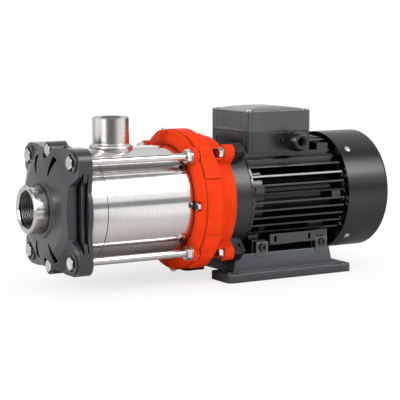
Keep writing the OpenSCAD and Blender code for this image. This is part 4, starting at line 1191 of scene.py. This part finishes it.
@dataclass
class Studio:
    """The floor, the lamps, the white surround and the camera.

    Attributes:
        azimuth, elevation: Where the camera stands, round and up, in degrees.
        distance, target: How far it is from what it looks at, and what that is.
        lens, clip: Its focal length, in millimetres, and how near and far it sees.
        floor_size: Side of the floor.
        room: Brightness of the even light from all round.
        board, camera_end, flag, band, strip, far_ceiling: How bright metal mirrors the boards at
            both sides, the dim end at the camera, the flags beside the white back, the band low
            on the camera's side, the strip overhead, and the ceiling beyond it.
        near_rise: How much brighter than the strip the ceiling at the camera is.
        shadow_middle: Station that the floor's shadow lies round.
        barrel_middle: Station of the barrel's middle.
        lamps: What lights the pump.
    """

    azimuth: float = 30.6
    elevation: float = 7.1
    distance: float = 1.970
    lens: float = 130.8
    clip: tuple[float, float] = (0.05, 60.0)
    target: Vector = field(default_factory=lambda: Vector((-0.0952, 0.0, 0.1023)))
    floor_size: float = 14.0
    room: float = 0.38
    board: float = 1.08
    camera_end: float = 0.08
    flag: float = 0.2
    band: float = 0.30
    strip: float = 0.2
    far_ceiling: float = 0.78
    near_rise: float = 0.62
    shadow_middle: float = -0.08
    barrel_middle: float = -0.2
    lamps: Sequence[Lamp] = (
        Lamp("key_lamp", Vector((1.02, -1.50, 1.44)), Vector((-0.1, 0.0, 0.1)), 1.1, 0.95, 22.0),
        Lamp("side_lamp", Vector((-2.1, -0.75, 0.9)), Vector((-0.2, 0.0, 0.1)), 0.8, 1.4, 23.0),
        Lamp("top_lamp", Vector((0.0, 0.1, 2.4)), Vector((-0.1, 0.0, 0.0)), 2.4, 2.4, 18.0, False),
    )

    BOARD_SPAN = (0.56, 1.0)
    FLAG_SPAN = (0.0, -0.42)
    FLAG_FADE = (-0.4, 0.3, 0.5, 1.0)
    BACK_SPAN = (-0.84, -0.95)
    BAND_SPAN = (0.0, 0.3)
    BAND_TOP = (0.20, 0.13)
    STRIP_FAR = (-0.18, -0.34)
    STRIP_NEAR = (0.16, 0.30)
    CEILING_RISE = (0.26, 0.66)
    SHADOW_SQUEEZE = 1.6
    SHADOW_FADE = (0.12, 0.36, 0.74, 1.0)
    MIRROR_FADE = (0.26, 0.50)
    UNDER_WIDTH = (0.18, 0.0)
    UNDER_LENGTH = (0.30, 0.16, 0.6, 1.0)
    PAPER = (0.93, 0.93, 0.93)
    PAPER_MIRRORED = (0.72, 0.715, 0.71)
    PAPER_PAINTED_SHADOW = (0.40, 0.375, 0.35)

    def towards_camera(self, graph: Graph, vector: Socket) -> tuple[Signal, Signal, Signal]:
        """Says how far a direction points at the camera's side, along the shaft and up.

        Args:
            graph: Where the nodes go.
            vector: The direction, of length 1.

        Returns:
            1 for straight at the camera's side and -1 for straight away; its share along
            the shaft; and its height.
        """
        x, y, up = graph.parts_of(vector)
        turn = math.radians(self.azimuth)
        return x * -math.sin(turn) - y * math.cos(turn), x, up

    def mirrored(self, front: Signal, across: Signal, up: Signal) -> Signal:
        """Says how bright the studio is where metal reflects it.

        The walls stand all round, with a band low on the camera's side. Overhead a dark strip
        runs between a far and a near ceiling.

        Args:
            front: How far a direction points at the camera's side.
            across: How far it points along the shaft.
            up: How far it points up.

        Returns:
            The brightness.
        """
        band = up.ramp(*self.BAND_TOP) * front.ramp(*self.BAND_SPAN)
        walls = self.sides(front, across).towards(self.band, band)
        far = front.ramp(*self.STRIP_FAR, self.strip, self.far_ceiling)
        ceiling = far + front.ramp(*self.STRIP_NEAR, 0.0, self.near_rise)
        return walls.towards(ceiling, up.ramp(*self.CEILING_RISE))

    def sides(self, front: Signal, across: Signal) -> Signal:
        """Says how bright the walls of the studio are.

        White behind the pump, dark flags beside that, white boards at both sides, and a dim
        end where the camera stands.

        Args:
            front: How far a direction points at the camera's side.
            across: How far it points along the shaft.

        Returns:
            The brightness.
        """
        boards = front.ramp(*self.BOARD_SPAN, self.board, self.camera_end)
        flags = front.ramp(*self.FLAG_SPAN) * across.ramp(*self.FLAG_FADE)
        return boards.towards(self.flag, flags).towards(1.0, front.ramp(*self.BACK_SPAN))

    def paper(self, graph: Graph, x: Signal, y: Signal, glossy: Signal) -> bpy.types.Node:
        """Makes the floor's paper, which metal reflects darker under the barrel as a painted
        shadow.

        Args:
            graph: Where the nodes go.
            x: Station along the shaft.
            y: Distance across it.
            glossy: 1 for reflected rays.

        Returns:
            The shader.
        """
        # Painted shadow: reflected rays see the paper darker under the barrel.
        beside = abs(x - self.barrel_middle).ramp(*self.UNDER_LENGTH)
        under = glossy * abs(y).ramp(*self.UNDER_WIDTH) * beside
        open_paper = graph.mixed(glossy, self.PAPER, self.PAPER_MIRRORED)
        colour = graph.mixed(under, open_paper, self.PAPER_PAINTED_SHADOW)
        sockets = {"Base Color": colour, "Roughness": 0.8, "Specular IOR Level": 0.0}
        return graph.node("ShaderNodeBsdfPrincipled", None, sockets)

    def floor(self) -> None:
        """Lays a pale floor that fades to white away from the pump and keeps its shadow."""
        mesh = bmesh.new()
        bmesh.ops.create_grid(mesh, x_segments=4, y_segments=4, size=self.floor_size / 2)
        data = data_of(mesh, "floor")
        floor = object_of(data, "floor")
        material = bpy.data.materials.new("floor")
        material.use_nodes = True
        graph = Graph(material.node_tree)
        x, y, _ = graph.parts_of(graph.place())
        out = x - self.shadow_middle
        reach = (out * out + y * y * self.SHADOW_SQUEEZE).power(0.5)
        seen, glossy = graph.rays()
        from_barrel = graph.joined(x - self.barrel_middle, y, 0.0)
        heading = graph.node("ShaderNodeVectorMath", {"operation": "NORMALIZE"}, {0: from_barrel})
        front, across, _ = self.towards_camera(graph, heading.outputs[0])
        tone = self.sides(front, across) * glossy + (1.0 - glossy)
        white = graph.node("ShaderNodeEmission", None, {"Color": tone, "Strength": 1.0})
        fade = reach.ramp(*self.SHADOW_FADE) * seen + reach.ramp(*self.MIRROR_FADE) * glossy
        paper = self.paper(graph, x, y, glossy)
        sockets = {0: fade, 1: paper.outputs[0], 2: white.outputs[0]}
        blend = graph.node("ShaderNodeMixShader", None, sockets)
        graph.node("ShaderNodeOutputMaterial", None, {"Surface": blend.outputs[0]})
        data.materials.append(material)

    def surround(self) -> None:
        """Lights the pump evenly from all round, and shows white behind it."""
        world = bpy.data.worlds.new("surround")
        bpy.context.scene.world = world
        world.use_nodes = True
        graph = Graph(world.node_tree)
        seen, glossy = graph.rays()
        direction = graph.node("ShaderNodeTexCoord").outputs["Generated"]
        front, across, up = self.towards_camera(graph, direction)
        tone = self.mirrored(front, across, up) * glossy + (1.0 - glossy) * self.room
        tone = tone.towards(1.0, seen)
        light = graph.node("ShaderNodeBackground", None, {"Color": tone, "Strength": 1.0})
        graph.node("ShaderNodeOutputWorld", None, {"Surface": light.outputs[0]})

    def lights(self) -> None:
        """Hangs the soft lamps."""
        for lamp in self.lamps:
            data = bpy.data.lights.new(lamp.name, "AREA")
            data.shape = "RECTANGLE"
            data.size, data.size_y = lamp.width, lamp.height
            data.energy = lamp.power
            made = object_of(data, lamp.name)
            made.location = lamp.place
            made.rotation_euler = (lamp.aim - lamp.place).to_track_quat("-Z", "Y").to_euler()
            made.visible_glossy = lamp.mirrored

    def camera(self) -> None:
        """Places the camera where the photograph was taken from."""
        data = bpy.data.cameras.new("camera")
        data.lens = self.lens
        camera = object_of(data, "camera")
        turn, rise = math.radians(self.azimuth), math.radians(self.elevation)
        back = Vector(
            (-math.sin(turn) * math.cos(rise), -math.cos(turn) * math.cos(rise), math.sin(rise))
        )
        camera.location = self.target + back * self.distance
        camera.rotation_euler = (-back).to_track_quat("-Z", "Y").to_euler()
        data.clip_start, data.clip_end = self.clip
        bpy.context.scene.camera = camera

    def set_up(self) -> None:
        """Makes the whole studio."""
        bpy.context.scene.view_settings.view_transform = "Standard"
        self.camera()
        self.floor()
        self.surround()
        self.lights()


def main() -> None:
    """Builds and dresses every sub-assembly, then sets up the studio."""
    logging.basicConfig(level=logging.INFO, format="%(name)s %(message)s")
    for part in (SuctionEnd(), Barrel(), OrangeCasting(), WetEnd(), Motor(), TerminalBox(), Foot()):
        part.dress()
        pieces = part.build()
        LOG.info("%s: %d fine pieces", type(part).__name__, len(pieces))
    Studio().set_up()


if __name__ == "__main__":
    main()
